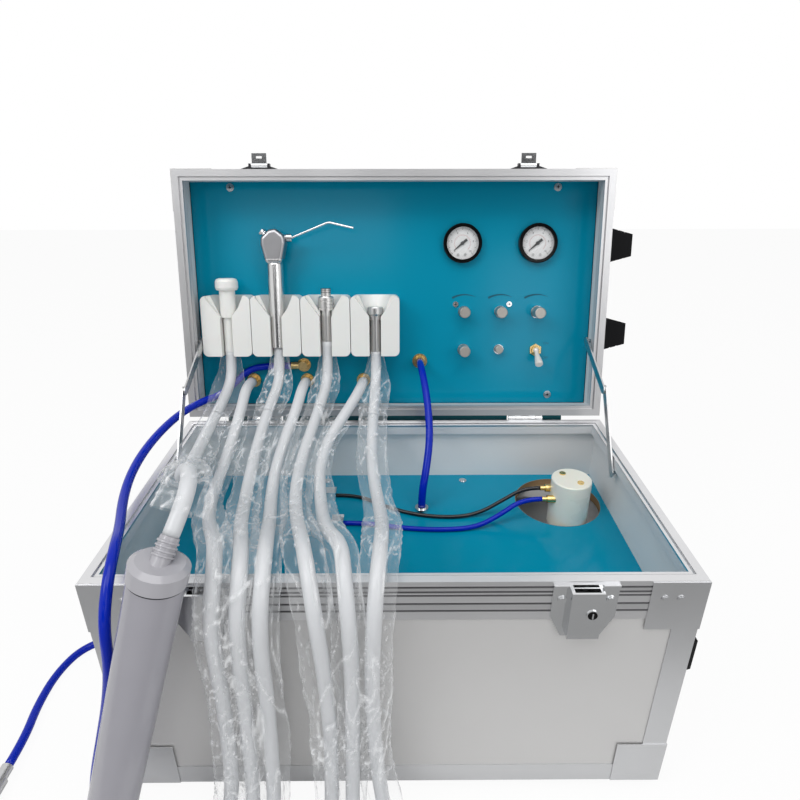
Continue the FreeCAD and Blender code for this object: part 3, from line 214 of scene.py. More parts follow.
# %% Build a finish
class Finish(Tree):
    """A material: one Principled shader, with helpers for patterns on Object coordinates."""

    def __init__(self, name, **sockets):
        self.material = bpy.data.materials.new(name)
        self.material.use_nodes = True
        self.tree = self.material.node_tree
        self.tree.nodes.clear()
        self.shader = self.tree.nodes.new("ShaderNodeBsdfPrincipled")
        out = self.tree.nodes.new("ShaderNodeOutputMaterial")
        self.tree.links.new(self.shader.outputs[0], out.inputs["Surface"])
        for socket, value in sockets.items():
            self.set(socket, value)

    def set(self, socket, value):
        self.feed(self.shader.inputs[socket.replace("_", " ")], value)

    def place(self):
        return self.node("ShaderNodeTexCoord", output=3)

    def axis(self, letter):
        return self.node("ShaderNodeSeparateXYZ", inputs={0: self.place()}, output="XYZ".index(letter))

    def level(self, origin, direction):
        """How far a place lies from an origin along a direction, in metres."""
        values = {0: self.place(), 1: origin}
        values = {0: self.node("ShaderNodeVectorMath", {"operation": "SUBTRACT"}, values), 1: direction}
        return self.node("ShaderNodeVectorMath", {"operation": "DOT_PRODUCT"}, values, output=1)

    def lid_axis(self, letter):
        """A coordinate of the lid's own frame, in metres."""
        return self.level(HINGE, {"U": LID_U, "V": LID_V, "W": LID_W}[letter])

    def outer_faces(self, on_lid, side, end):
        """Above 0 beyond these distances from the middle of the base or lid."""
        along = self.lid_axis("V") - HINGE_REACH if on_lid else self.axis("Y")
        return abs(along).above(end) + abs(self.axis("X")).above(side)

    def noise(self, scale, detail=2.0, stretch=(1, 1, 1)):
        spot = self.node("ShaderNodeMapping", inputs={"Vector": self.place(), "Scale": stretch})
        return self.node("ShaderNodeTexNoise", inputs={"Vector": spot, "Scale": scale, "Detail": detail})

    def mix(self, factor, first, second):
        settings = {"data_type": "RGBA"}
        return self.node("ShaderNodeMix", settings, {0: factor, 6: first, 7: second}, output=2)

    def bump(self, height, distance, strength):
        values = {"Height": height, "Distance": distance, "Strength": strength}
        self.set("Normal", self.node("ShaderNodeBump", inputs=values))


def shade(colour, factor):
    return tuple(min(1.0, c * factor) for c in colour)


print("finish helpers ready")

# %% [markdown]
# ## Metals
# The rims and corner angles are drawn aluminium with a satin skin: bright, a little rough, with very fine
# lines along the profile. Chrome is smooth, with faint clouds where it has been touched. Turned steel gets
# faint rings from the lathe. Where one part shows two metals, or has grooves, bands or a hinge gap where
# shade is painted into its colour, a mask picks the places out by their level on the case, in metres.


# %% Mix the metals
def metal(name, colour, rough, spread, grain, stretch, depth=0.00004):
    made = Finish(name, Metallic=1.0)
    lines = made.noise(grain, 3.0, stretch)
    cloud = made.noise(14.0, 3.0)
    made.set("Base_Color", made.mix(cloud, shade(colour, 0.94), shade(colour, 1.05)))
    made.set("Roughness", cloud * spread + (rough - spread / 2))
    made.bump(lines, depth, 0.6)
    return made.material


CHROME_ABOVE = 0.090
CHROME_BESIDE = 0.175
LOWER_COLLARS = {"U": (0.1005, 0.031), "V": (0.0725, 0.010)}


def panel_metal():
    """Chrome on the screws and the knobs' collars, brass on the toggle's nut and the hose outlets."""
    made = Finish("panel fittings", Metallic=1.0)
    u = made.lid_axis("U")
    v = made.lid_axis("V")
    lower = u.near(*LOWER_COLLARS["U"]) * v.near(*LOWER_COLLARS["V"])
    chrome = (v.above(CHROME_ABOVE) + abs(u).above(CHROME_BESIDE) + lower).clamp()
    cloud = made.noise(60.0, 2.0)
    brass = made.mix(cloud, (0.66, 0.47, 0.20), (0.86, 0.66, 0.32))
    made.set("Base_Color", made.mix(chrome, brass, (0.72, 0.73, 0.74)))
    made.set("Roughness", cloud * 0.10 + (chrome * -0.08 + 0.20))
    return made.material


RIM_LEVEL = 0.235
RIM_SIDE = 0.2287
RIM_END = 0.1297
RIM_LIP = 0.0030
GROOVES = (0.0053, 0.0097, 0.0130, 0.0208, 0.0276)
GROOVE_REACH = 0.0009
SHADED_BANDS = ((0.0075, 0.0022), (0.0242, 0.0034))


def rim_metal(name, on_lid, grey):
    """Drawn aluminium with painted shade in the grooves (the shadow lines of the profile) and on two bands,
    on its outer faces only.
    """
    made = Finish(name, Metallic=1.0)
    depth = made.lid_axis("W") * -1.0 if on_lid else RIM_LEVEL - made.axis("Z")
    outside = made.outer_faces(on_lid, RIM_SIDE, RIM_END).clamp()
    # Painted shade: the grooves and two bands of the profile are darkened in the colour, where the lamps
    # would shade them.
    groove_shade = outside * sum((depth.near(level, GROOVE_REACH) for level in GROOVES), 0.0)
    band_shade = outside * sum((depth.near(level, reach) for level, reach in SHADED_BANDS), 0.0)
    inside = (1.0 - outside) * depth.above(RIM_LIP)
    cloud = made.noise(14.0, 3.0)
    bright = made.mix(cloud, (grey, grey, grey + 0.01), (grey + 0.07, grey + 0.07, grey + 0.08))
    band_shaded = made.mix(band_shade * 0.22, bright, (0.30, 0.30, 0.31))
    made.set("Base_Color", made.mix(groove_shade * 0.70, band_shaded, (0.05, 0.05, 0.055)))
    made.set("Metallic", 1.0 - inside * 0.75)
    made.set("Roughness", cloud * 0.10 + (inside * 0.20 + 0.29))
    made.bump(made.noise(300.0, 3.0, (0.15, 4, 4)), 0.00004, 0.6)
    return made.material


HINGE_GAP_SHADE_LEVEL = 0.00335
HINGE_GAP_SHADE_HALF_LENGTH = 0.18825


def lid_edge_metal():
    """Aluminium corner plates and angles, with a painted dark teal shade along the hinge side, where the
    hinge gap shows.
    """
    made = Finish("aluminium angles", Metallic=1.0)
    across = abs(made.lid_axis("U"))
    # Painted shade: a dark teal band at the lid's hinge edge stands in for the shaded gap between lid and
    # base.
    gap_shade = (1.0 - made.lid_axis("V").above(HINGE_GAP_SHADE_LEVEL)) * (1.0 - across.above(HINGE_GAP_SHADE_HALF_LENGTH))
    cloud = made.noise(14.0, 3.0)
    bright = made.mix(cloud, (0.52, 0.52, 0.515), (0.59, 0.59, 0.58))
    made.set("Base_Color", made.mix(gap_shade, bright, (0.02, 0.10, 0.12)))
    made.set("Roughness", cloud * 0.10 + 0.32)
    made.bump(made.noise(300.0, 3.0, (0.15, 4, 4)), 0.00004, 0.6)
    return made.material


SYRINGE_HEAD = 0.1757


def syringe_metal():
    """A bright turned handle under a darker blasted head."""
    made = Finish("syringe metal", Metallic=1.0)
    head = made.lid_axis("V").above(SYRINGE_HEAD)
    cloud = made.noise(90.0, 3.0)
    handle = made.mix(cloud, (0.60, 0.60, 0.60), (0.67, 0.67, 0.67))
    blasted = made.mix(cloud, (0.36, 0.36, 0.375), (0.42, 0.42, 0.435))
    made.set("Base_Color", made.mix(head, handle, blasted))
    made.set("Roughness", cloud * 0.06 + (head * 0.16 + 0.17))
    made.bump(made.noise(900.0, 2.0), 0.00003, 0.4)
    return made.material


THREAD_SHADE_LEVELS = (0.1392, 0.1412, 0.1432)
THREAD_SHADE_REACH = 0.00045


def coupling_metal():
    """Turned steel with painted shade in three thread grooves near the top of the coupling."""
    made = Finish("coupling steel", Metallic=1.0)
    v = made.lid_axis("V")
    # Painted shade: three dark lines at the thread grooves, where the lamps would shade them.
    lines = sum((v.near(level, THREAD_SHADE_REACH) for level in THREAD_SHADE_LEVELS), 0.0)
    cloud = made.noise(90.0, 3.0)
    steel = made.mix(cloud, (0.55, 0.545, 0.54), (0.62, 0.615, 0.61))
    made.set("Base_Color", made.mix(lines * 0.75, steel, (0.06, 0.06, 0.06)))
    made.set("Roughness", cloud * 0.10 + 0.26)
    made.bump(made.noise(500.0, 2.0, (1, 1, 6)), 0.00003, 0.5)
    return made.material


METALS = {
    "aluminium": metal("aluminium", (0.62, 0.625, 0.635), 0.34, 0.10, 300.0, (0.15, 4, 4)),
    "chrome": metal("chrome", (0.72, 0.73, 0.74), 0.13, 0.08, 120.0, (1, 1, 1), 0.00002),
    "steel": metal("turned steel", (0.56, 0.56, 0.56), 0.30, 0.10, 500.0, (1, 1, 6)),
    "knob": metal("knob steel", (0.50, 0.475, 0.44), 0.36, 0.10, 500.0, (1, 1, 6)),
    "brass": metal("brass", (0.80, 0.58, 0.24), 0.24, 0.10, 300.0, (1, 1, 1)),
    "coated": metal("dark plated steel", (0.05, 0.05, 0.055), 0.30, 0.12, 200.0, (1, 1, 1)),
    "syringe": syringe_metal(),
    "coupling": coupling_metal(),
    # The two rims are one aluminium: the base rim's grey is painted lighter and the lid rim's darker, to even
    # out how the lamps reach them.
    "base_rim": rim_metal("base rim aluminium", on_lid=False, grey=0.68),
    "lid_rim": rim_metal("lid rim aluminium", on_lid=True, grey=0.56),
    "lid_edges": lid_edge_metal(),
    "fittings": panel_metal(),
}
print("metals", sorted(METALS))

# %% [markdown]
# ## Boards and sheet
# The case is thin board under a silver-grey laminate sheet. Its inner walls are a paler satin grey. The panel
# and the deck are boards with a thick, glossy teal skin. Where the round bottle hole cuts the deck, the raw
# brown fibreboard shows: that edge is picked out by its distance from the hole's own axis.


# %% Mix the case's skins
WALL_SIDE = 0.2272
WALL_END = 0.1282
BASE_FLOOR = 0.0145
LID_BOARD = -0.0920
BEAD_LEVEL = -0.0437
BEAD_REACH = 0.0014
HOLE = (0.175, 0.072)
HOLE_RADIUS = 0.0448


def grey_skin(name, on_lid):
    """Silver laminate outside and a paler, matt lining inside, told apart by place."""
    made = Finish(name)
    cloud = made.noise(9.0, 4.0)
    height = made.lid_axis("W") if on_lid else made.axis("Z")
    board = 1.0 - height.above(LID_BOARD if on_lid else BASE_FLOOR)
    outer = (made.outer_faces(on_lid, WALL_SIDE, WALL_END) + board).clamp()
    bead = height.near(BEAD_LEVEL, BEAD_REACH) if on_lid else 0.0
    silver = made.mix(cloud, (0.57, 0.565, 0.56), (0.625, 0.62, 0.615))
    satin = made.mix(cloud, (0.74, 0.735, 0.73), (0.80, 0.795, 0.79))
    satin = made.mix(bead, satin, (0.01, 0.02, 0.02))
    made.set("Base_Color", made.mix(outer, satin, silver))
    made.set("Metallic", outer * 0.35)
    made.set("Roughness", cloud * 0.12 + (0.50 - outer * 0.16))
    made.bump(made.noise(420.0, 2.0, (0.2, 3, 3)), 0.00005, 0.5)
    return made.material


def teal_board(name, hole):
    """A glossy teal skin, with raw fibre inside the bottle hole where the board has one."""
    teal = (0.0, 0.250, 0.390)
    made = Finish(name, IOR=1.45, Specular_IOR_Level=0.24)
    cloud = made.noise(5.0, 3.0)
    colour = made.mix(cloud, shade(teal, 0.94), shade(teal, 1.06))
    rough = cloud * 0.08 + 0.12
    if hole:
        x = made.axis("X") - HOLE[0]
        y = made.axis("Y") - HOLE[1]
        beyond = ((x * x + y * y) ** 0.5 - HOLE_RADIUS).above(0.0)
        fibre = made.mix(made.noise(900.0, 3.0), (0.20, 0.12, 0.055), (0.42, 0.28, 0.15))
        colour = made.mix(beyond, fibre, colour)
        rough = beyond * (rough - 0.85) + 0.85
    made.set("Base_Color", colour)
    made.set("Roughness", rough)
    made.bump(made.noise(60.0, 2.0), 0.00006, 0.4)
    return made.material


SKINS = {
    "base_shell": grey_skin("base laminate", on_lid=False),
    "lid_shell": grey_skin("lid laminate", on_lid=True),
    "panel": teal_board("glossy teal panel", hole=False),
    "deck": teal_board("glossy teal deck", hole=True),
}
print("skins", sorted(SKINS))

# %% [markdown]
# ## Plastics, rubber and glass
# The holders, the bottle cap and the saliva ejector are moulded in a slightly warm white. Instrument hoses
# are extruded in a soft grey, the air and supply hoses in a saturated blue. Rubber bumpers are matt with a
# mould texture. Each has a small unevenness in its gloss, as handled plastic has.


# %% Mix the plastics
def plastic(name, colour, rough, spread=0.08, grain=300.0, depth=0.00003, **more):
    made = Finish(name, **more)
    cloud = made.noise(22.0, 3.0)
    made.set("Base_Color", made.mix(cloud, shade(colour, 0.96), shade(colour, 1.03)))
    made.set("Roughness", cloud * spread + (rough - spread / 2))
    made.bump(made.noise(grain, 2.0), depth, 0.5)
    return made.material


PLASTICS = {
    "white": plastic("white moulding", (0.80, 0.795, 0.77), 0.34, Subsurface_Weight=0.05),
    "lever": plastic("satin nickel", (0.80, 0.76, 0.71), 0.36, Metallic=0.15),
    "milky": plastic("milky cap", (0.84, 0.82, 0.73), 0.28, Subsurface_Weight=0.10),
    "hose": plastic("grey hose", (0.63, 0.645, 0.665), 0.34),
    "blue": plastic("blue tube", (0.0, 0.018, 0.42), 0.16, IOR=1.45, Specular_IOR_Level=0.25),
    "black": plastic("black tube", (0.008, 0.008, 0.010), 0.22),
    "rubber": plastic(
        "black rubber", (0.006, 0.006, 0.007), 0.58, grain=900.0, depth=0.00015, Specular_IOR_Level=0.10
    ),
    "canister_cap": plastic("grey cap moulding", (0.41, 0.405, 0.435), 0.15),
    "bottle": plastic("translucent bottle", (0.55, 0.62, 0.66), 0.30, Transmission_Weight=0.35),
    "enamel": plastic("black enamel", (0.004, 0.004, 0.004), 0.12, Specular_IOR_Level=0.22),
    "pointer": plastic("pointer paint", (0.004, 0.004, 0.004), 0.50, Specular_IOR_Level=0.05),
    "dial": plastic("dial face", (0.80, 0.80, 0.80), 0.55),
    "ink": plastic("printing ink", (0.03, 0.03, 0.035), 0.50),
    "red_ink": plastic("red printing ink", (0.42, 0.05, 0.04), 0.50),
    "faded_ink": plastic("panel print", (0.010, 0.10, 0.15), 0.45, Specular_IOR_Level=0.20),
    "grey_card": plastic("grey card", (0.36, 0.36, 0.36), 0.90),
    # Near-black paint for painted shade: the screws' cross recesses and the keyholes.
    "shadow": plastic("painted recess shade", (0.006, 0.006, 0.006), 0.60, Specular_IOR_Level=0.05),
}


def glass(name):
    made = Finish(name, IOR=1.45, Roughness=0.03, Alpha=0.05, Specular_IOR_Level=0.20)
    made.set("Base_Color", made.mix(made.noise(30.0), (0.96, 0.98, 1.0), (1.0, 1.0, 1.0)))
    return made.material


CANISTER_TOP = Vector((-0.150, -0.163, 0.282))
CANISTER_AXIS = Vector((0.296, 0.122, 1.0)).normalized()
SKIRT_END = -0.0148
SKIRT_SHADOW_REACH = 0.0010


def canister_plastic():
    """Glossy grey moulding with a painted shadow line under the end of the cap's skirt."""
    made = Finish("grey moulding")
    cloud = made.noise(22.0, 3.0)
    # Painted shadow: a dark line on the body just under the cap's overhanging skirt.
    skirt_shadow = made.level(CANISTER_TOP, CANISTER_AXIS).near(SKIRT_END, SKIRT_SHADOW_REACH)
    grey = made.mix(cloud, (0.33, 0.325, 0.36), (0.36, 0.355, 0.39))
    made.set("Base_Color", made.mix(skirt_shadow, grey, (0.03, 0.03, 0.035)))
    made.set("Roughness", cloud * 0.06 + 0.12)
    made.bump(made.noise(40.0, 2.0), 0.00010, 0.4)
    return made.material


PLASTICS["canister"] = canister_plastic()
PLASTICS["glass"] = glass("gauge glass")
print("plastics", sorted(PLASTICS))

# %% [markdown]
# ## Finishes on the rigid parts
# Every part of the frame keeps its own shape and gets one of the finishes above, by name.

# %% Dress the rigid parts
FINISHES = {**METALS, **SKINS, **PLASTICS}
DRESS = {
    "aluminium": "base_edges",
    "base_rim": "base_rim",
    "lid_rim": "lid_rim",
    "lid_edges": "lid_edges",
    "base_shell": "base_shell",
    "lid_shell": "lid_shell",
    "panel": "control_panel",
    "deck": "deck_board",
    "chrome": (
        "deck_fittings lock_bodies hinge_base_leaves hinge_lid_leaves handle_brackets "
        "hasp_1 hasp_2 air_button water_button syringe_nozzle"
    ),
    "coated": "lid_catches",
    "steel": "stay_lower_left stay_lower_right stay_upper_left stay_upper_right coupling_4 air_connector",
    "syringe": "syringe_body",
    "coupling": "coupling_3",
    "knob": "knob_1 knob_2 knob_3 knob_4 push_button",
    "lever": "toggle_lever",
    "brass": "cap_fittings",
    "fittings": "panel_fittings",
    "rubber": "base_feet lid_feet carry_handle",
    "white": "tool_holder_1 tool_holder_2 tool_holder_3 tool_holder_4 saliva_ejector",
    "milky": "bottle_cap",
    "bottle": "water_bottle",
    "enamel": "gauge_cases",
    "pointer": "gauge_needle_1 gauge_needle_2",
    "dial": "gauge_dials",
    "glass": "gauge_lenses",
    "canister": "canister_body",
    "canister_cap": "canister_cap",
    "hose": "hose_1 hose_2 hose_3 hose_4",
    "blue": "air_hose supply_hose blue_tube",
    "black": "black_tube",
}
for finish, names in DRESS.items():
    for name in names.split():
        for place in NODES[name].material_slots:
            place.material = FINISHES[finish]
undressed = set(NODES) - set(" ".join(DRESS.values()).split())
print("undressed nodes:", sorted(undressed))


# %% [markdown]
# ## Hoses
# A hose has a fixed length, leaves its fitting straight and hangs in wide curves. Each one is drawn first as
# a smooth NURBS line through a few points, and a round skin is then swept along that line. The three long
# hoses leave their tools, run over the front of the case, turn on the floor and come back to the outlets in
# the lid; the suction hose ends at the waste canister. Their first few centimetres are a piece of their own.


# %% Draw a smooth line
def mesh_of(curve):
    """The plain mesh of a curve or a text."""
    helper = bpy.data.objects.new(curve.name, curve)
    mesh = bpy.data.meshes.new_from_object(helper)
    bpy.data.objects.remove(helper)
    return mesh


def smooth_line(name, points):
    curve = bpy.data.curves.new(name, "CURVE")
    curve.dimensions = "3D"
    spline = curve.splines.new("NURBS")
    spline.points.add(len(points) - 1)
    for knot, point in zip(spline.points, points):
        knot.co = (*point, 1.0)
    spline.order_u = 3
    spline.use_endpoint_u = True
    curve.resolution_u = 10
    mesh = mesh_of(curve)
    line = [v.co.copy() for v in mesh.vertices]
    bpy.data.meshes.remove(mesh)
    return line


def line_length(line):
    return sum((b - a).length for a, b in zip(line, line[1:]))


def frames_along(line, side=Vector((1, 0, 0))):
    """A pair of cross directions at each point, turning as little as possible."""
    found = []
    for i in range(len(line)):
        ahead = (line[min(i + 1, len(line) - 1)] - line[max(i - 1, 0)]).normalized()
        side = (side - ahead * side.dot(ahead)).normalized()
        found.append((side.copy(), ahead.cross(side)))
    return found


# %% Sweep a skin
def show(name, data, body=None):
    """Put a mesh or a lamp into the scene; a piece also gets its body."""
    piece = bpy.data.objects.new(name, data)
    bpy.context.scene.collection.objects.link(piece)
    if body:
        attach(piece, body)
    return piece


def add_piece(name, vertices, faces, finish, body=None, smooth=True):
    mesh = bpy.data.meshes.new(name)
    mesh.from_pydata([tuple(v) for v in vertices], [], faces)
    mesh.validate()
    if smooth:
        mesh.shade_smooth()
    else:
        mesh.shade_flat()
    mesh.materials.append(finish)
    return show(name, mesh, body)


def ring_faces(rings, sides, capped=True):
    """The faces of a skin from ring to ring, and one over each end."""
    faces = []
    for i in range(rings - 1):
        for k in range(sides):
            a = i * sides + k
            b = i * sides + (k + 1) % sides
            faces.append((a, b, b + sides, a + sides))
    if capped:
        faces.append(tuple(reversed(range(sides))))
        faces.append(tuple(range((rings - 1) * sides, rings * sides)))
    return faces


def tube(name, line, frames, radius, finish, sides=18):
    vertices = []
    for point, (side, up) in zip(line, frames):
        for k in range(sides):
            turn = 2 * math.pi * k / sides
            vertices.append(point + (side * math.cos(turn) + up * math.sin(turn)) * radius)
    return add_piece(name, vertices, ring_faces(len(line), sides), finish)


# %% [markdown]
# The places along the way out and the way back are shared by the three long hoses; only the sideways place
# differs from one to the next. All of them are in millimetres.

# %% Lay out the hose lanes
DOWN_THE_FRONT = (
    (-116, 258), (-142, 250), (-158, 228), (-159, 190), (-155, 148), (-156, 104), (-158, 66), (-162, 32),
    (-186, 7.5),
)
WAY_OUT = (
    (156.2, 266.3), (127.7, 256.8), (98, 243), (62, 230), (22, 223), (-22, 226), (-68, 239),
    *DOWN_THE_FRONT,
)
WAY_BACK = (*reversed(DOWN_THE_FRONT), (-80, 242), (-42, 227), (2, 218), (48, 222), (86, 238), (117, 258))
FLOOR_LEVEL = 6.2
TOOL_LEVEL = -25.0
HOLDER_FOOT = 52.6
PORT_LEVELS = (-4.0, -30.0)
LANES = {
    "hose_2": {
        "tool": (-131.8, 78.0),
        "port": (-166.0, 36.6),
        "out": (
            -133, -137, -141, -143, -141, -135, -126, -112, -108, -109, -111, -113, -114, -115, -116, -117,
        ),
        "loop": (
            (-119, -218), (-119.5, -250), (-120, -278), (-143.4, -301.4), (-176.6, -301.4), (-200, -278),
            (-199, -245), (-170, -214),
        ),
        "back": (-146, -134, -131, -130, -129, -128, -127, -126, -131, -146, -161, -172, -173, -170, -166),
    },
    "hose_3": {
        "tool": (-76.8, 84.8),
        "port": (-103.3, 36.6),
        "out": (-78, -82, -88, -94, -95, -89, -79, -67, -60, -55, -52, -51, -50, -51, -52, -53),
        "loop": (
            (-50, -214), (-27, -245), (-27, -278), (-50.4, -301.4), (-83.6, -301.4), (-107, -278),
            (-107, -245), (-103, -214),
        ),
        "back": (-101, -99, -98, -97, -96, -95, -93, -92, -94, -101, -108, -116, -120, -115, -106),
    },
    "hose_4": {
        "tool": (-21.8, 73.0),
        "port": (-37.1, 36.6),
        "out": (-22, -23, -24, -24, -20, -14, -10, -10, -12, -14, -16, -17, -16, -14, -10, -3),
        "loop": (
            (12, -212), (40, -226), (64, -250), (67, -283), (43.6, -306.4), (10.4, -306.4), (-13, -283),
            (-13, -250), (-25, -218),
        ),
        "back": (-34, -35, -34, -33, -32, -31, -32, -35, -39, -53, -62, -70, -76, -69, -49),
    },
}


def lane_points(lane):
    """The whole way of a long hose: from its tool over the floor to its outlet."""
    u, v = lane["tool"]
    points = [lid_spot(u, v, TOOL_LEVEL), lid_spot(u, HOLDER_FOOT, TOOL_LEVEL)]
    points += metres((x, *way) for x, way in zip(lane["out"], WAY_OUT))
    points += metres((x, y, FLOOR_LEVEL) for x, y in lane["loop"])
    points += metres((x, *way) for x, way in zip(lane["back"], WAY_BACK))
    return points + [lid_spot(*lane["port"], level) for level in PORT_LEVELS]


print("way out", len(WAY_OUT), "points, way back", len(WAY_BACK))

# %% [markdown]
# Each long hose is cut into a short tail at its tool and a run for the rest of its way.

# %% Make the hoses
HOSE = 0.0115
TAIL = 0.085


def instrument_hose(name, points):
    """A hose as two pieces: a short tail at its tool, and a run for the rest of its way."""
    line = smooth_line(name, points)
    frames = frames_along(line)
    cut = next(i for i in range(2, len(line)) if line_length(line[: i + 1]) >= TAIL)
    tail = tube(name + "_tail", line[: cut + 1], frames[: cut + 1], HOSE / 2, PLASTICS["hose"])
    main = tube(name + "_run", line[cut:], frames[cut:], HOSE / 2, PLASTICS["hose"])
    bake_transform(tail)
    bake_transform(main)
    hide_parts(name)
    line_length(line[: cut + 1])
    line[: cut + 1]
    print(name, "total", round(line_length(line), 3), "m")
    return line


HOSE_LINES = {}
for name, lane in LANES.items():
    HOSE_LINES[name] = instrument_hose(name, lane_points(lane))

WASTE_POINTS = [lid_spot(-186.8, 73.0, TOOL_LEVEL), lid_spot(-186.8, HOLDER_FOOT, TOOL_LEVEL)]
WASTE_POINTS += metres((
    (-188, 156.2, 266.3), (-191, 128, 257), (-194, 96, 249), (-194, 55, 246), (-188, 8, 251),
    (-179, -34, 265), (-167, -68, 286), (-153, -92, 307), (-141, -114, 318), (-137.7, -137.5, 311.6),
    (-145.2, -153.0, 293.6),
))
HOSE_LINES["hose_1"] = instrument_hose("hose_1", WASTE_POINTS)

# %% [markdown]
# The blue air hose leaves an elbow under the holders, drops over the front of the case beside the canister
# and makes one wide loop on the floor to its quick connector. The supply hose joins the panel to the deck,
# and two thin tubes feed the water bottle.


# %% Make the air hose and the small tubes
def plain_hose(name, points, diameter, finish, blend=True):
    line = smooth_line(name, points)
    piece = tube(name + "_run", line, frames_along(line), diameter / 2, finish, sides=14)
    if blend:
        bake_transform(piece)
    else:
        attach(piece, "base")
    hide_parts(name)
    line_length(line)
    print(name, "length", round(line_length(line), 3))


AIR_POINTS = [lid_spot(-120.9, 54.5, -38.5)]
AIR_POINTS += metres((
    (-144, 183.4, 280.6), (-170, 183, 277), (-186, 172, 263), (-199, 154, 256), (-212, 132, 259),
    (-225, 102, 260), (-234, 66, 258), (-238, 26, 255), (-236, -12, 252), (-228, -48, 250),
    (-212, -90, 254), (-200, -124, 262), (-196, -150, 252), (-196, -166, 230), (-201, -164, 190),
    (-212, -160, 150), (-226, -158, 108), (-240, -157, 66), (-250, -154, 30), (-258, -132, 6),
    (-262, -96, 4.2), (-262, -52, 4.2), (-266, -8, 4.2), (-284, 28, 4.2), (-318, 42, 4.2),
    (-350, 26, 4.2), (-362, -8, 4.2), (-361, -48, 4.4), (-352, -86, 7.2), (-352, -112, 7.2),
))
SUPPLY_POINTS = [lid_spot(29.2, 58.8, -34), lid_spot(29.2, 58.8, -12)]
SUPPLY_POINTS += metres((
    (33, 134, 277), (36, 110, 258), (37, 88, 235), (33, 69, 211), (28, 56.5, 188), (28, 56.5, 172),
))
BLACK_POINTS = metres((
    (-64, 82, 168.1), (-40, 82, 168.1), (-10, 60, 168.1), (22, 45, 168.1), (60, 40, 168.1),
    (88, 46, 169.5), (112, 50, 183), (133, 52, 196), (149.5, 52, 196),
))
BLUE_POINTS = metres((
    (-52, 31, 168.6), (-28, 31, 168.6), (8, 22, 168.6), (46, 19, 168.6), (80, 22, 168.8),
    (104, 30, 177), (130, 41, 190), (149.5, 41, 190),
))
plain_hose("air_hose", AIR_POINTS, 0.008, PLASTICS["blue"])
plain_hose("supply_hose", SUPPLY_POINTS, 0.008, PLASTICS["blue"])
plain_hose("black_tube", BLACK_POINTS, 0.004, PLASTICS["black"], blend=False)
plain_hose("blue_tube", BLUE_POINTS, 0.005, PLASTICS["blue"], blend=False)

# %% [markdown]
# ## Protective film
# The unit is shown as it leaves the works: each hose still wears a loose sleeve of thin clear film. Film this
# thin is almost invisible where it faces you, turns milky where you look along it, and flashes white along
# its folds. So the sleeve carries one number at each point, how sharp the fold is there, and the finish turns
# that number and the angle of view into the opacity of a white film: the milky sheen and the white flashes
# along the folds are painted highlight, not reflected light. The sleeve is a flattened tube of a single skin,
# open at both ends.


# %% Mix the film
def film():
    made = Finish("clear film", IOR=1.45, Roughness=0.12)
    made.set("Base_Color", made.mix(made.noise(40.0), (0.90, 0.92, 0.94), (0.98, 0.99, 1.0)))
    # Painted highlight and sheen: the fold number and the grazing angle raise the opacity of the white film,
    # so its folds and edges show lit white.
    fold = made.node("ShaderNodeAttribute", {"attribute_name": "fold"}, output=2)
    facing = made.node("ShaderNodeLayerWeight", inputs={"Blend": 0.40}, output=1)
    haze = made.noise(26.0, 3.0)
    made.set("Alpha", (facing ** 3.0 * 0.42 + fold * 0.75 + haze * 0.10 + 0.01).clamp())
    made.bump(made.noise(70.0, 1.0), 0.0003, 0.3)
    return made.material


FILM = film()
print("film mixed")


# %% Fold a sleeve round a hose
def spaced(line, start, stop, step):
    """Points at even steps along a line, between two distances from its start."""
    found = []
    gone = 0.0
    wanted = start
    for a, b in zip(line, line[1:]):
        length = (b - a).length
        while wanted <= min(stop, gone + length):
            found.append(a.lerp(b, (wanted - gone) / length))
            wanted += step
        gone += length
    return found


def ridge(turn, along, around, shift, sharp):
    """A crease pattern that runs along the sleeve: 1 on a fold, 0 away from it."""
    spot = Vector((math.cos(turn) * around, math.sin(turn) * around, along)) + shift
    return max(0.0, 1.0 - abs(noise.noise(spot)) * sharp)


FILM_FLOOR = 0.0003
FILM_STEP = 0.0025
FILM_SIDES = 56
FILM_HALF_HEIGHT = 0.0085
FILM_CLOSEST = 0.0066
GATHERED_END = 0.035
FOLD_RISE = 0.0011
CRUMPLE_RISE = 0.0008
DENT_DEPTH = 0.0030
WAVES = {"swell": 14, "lean": 9, "crumple": 13, "fold": 11, "cross": 70, "dent": 22}


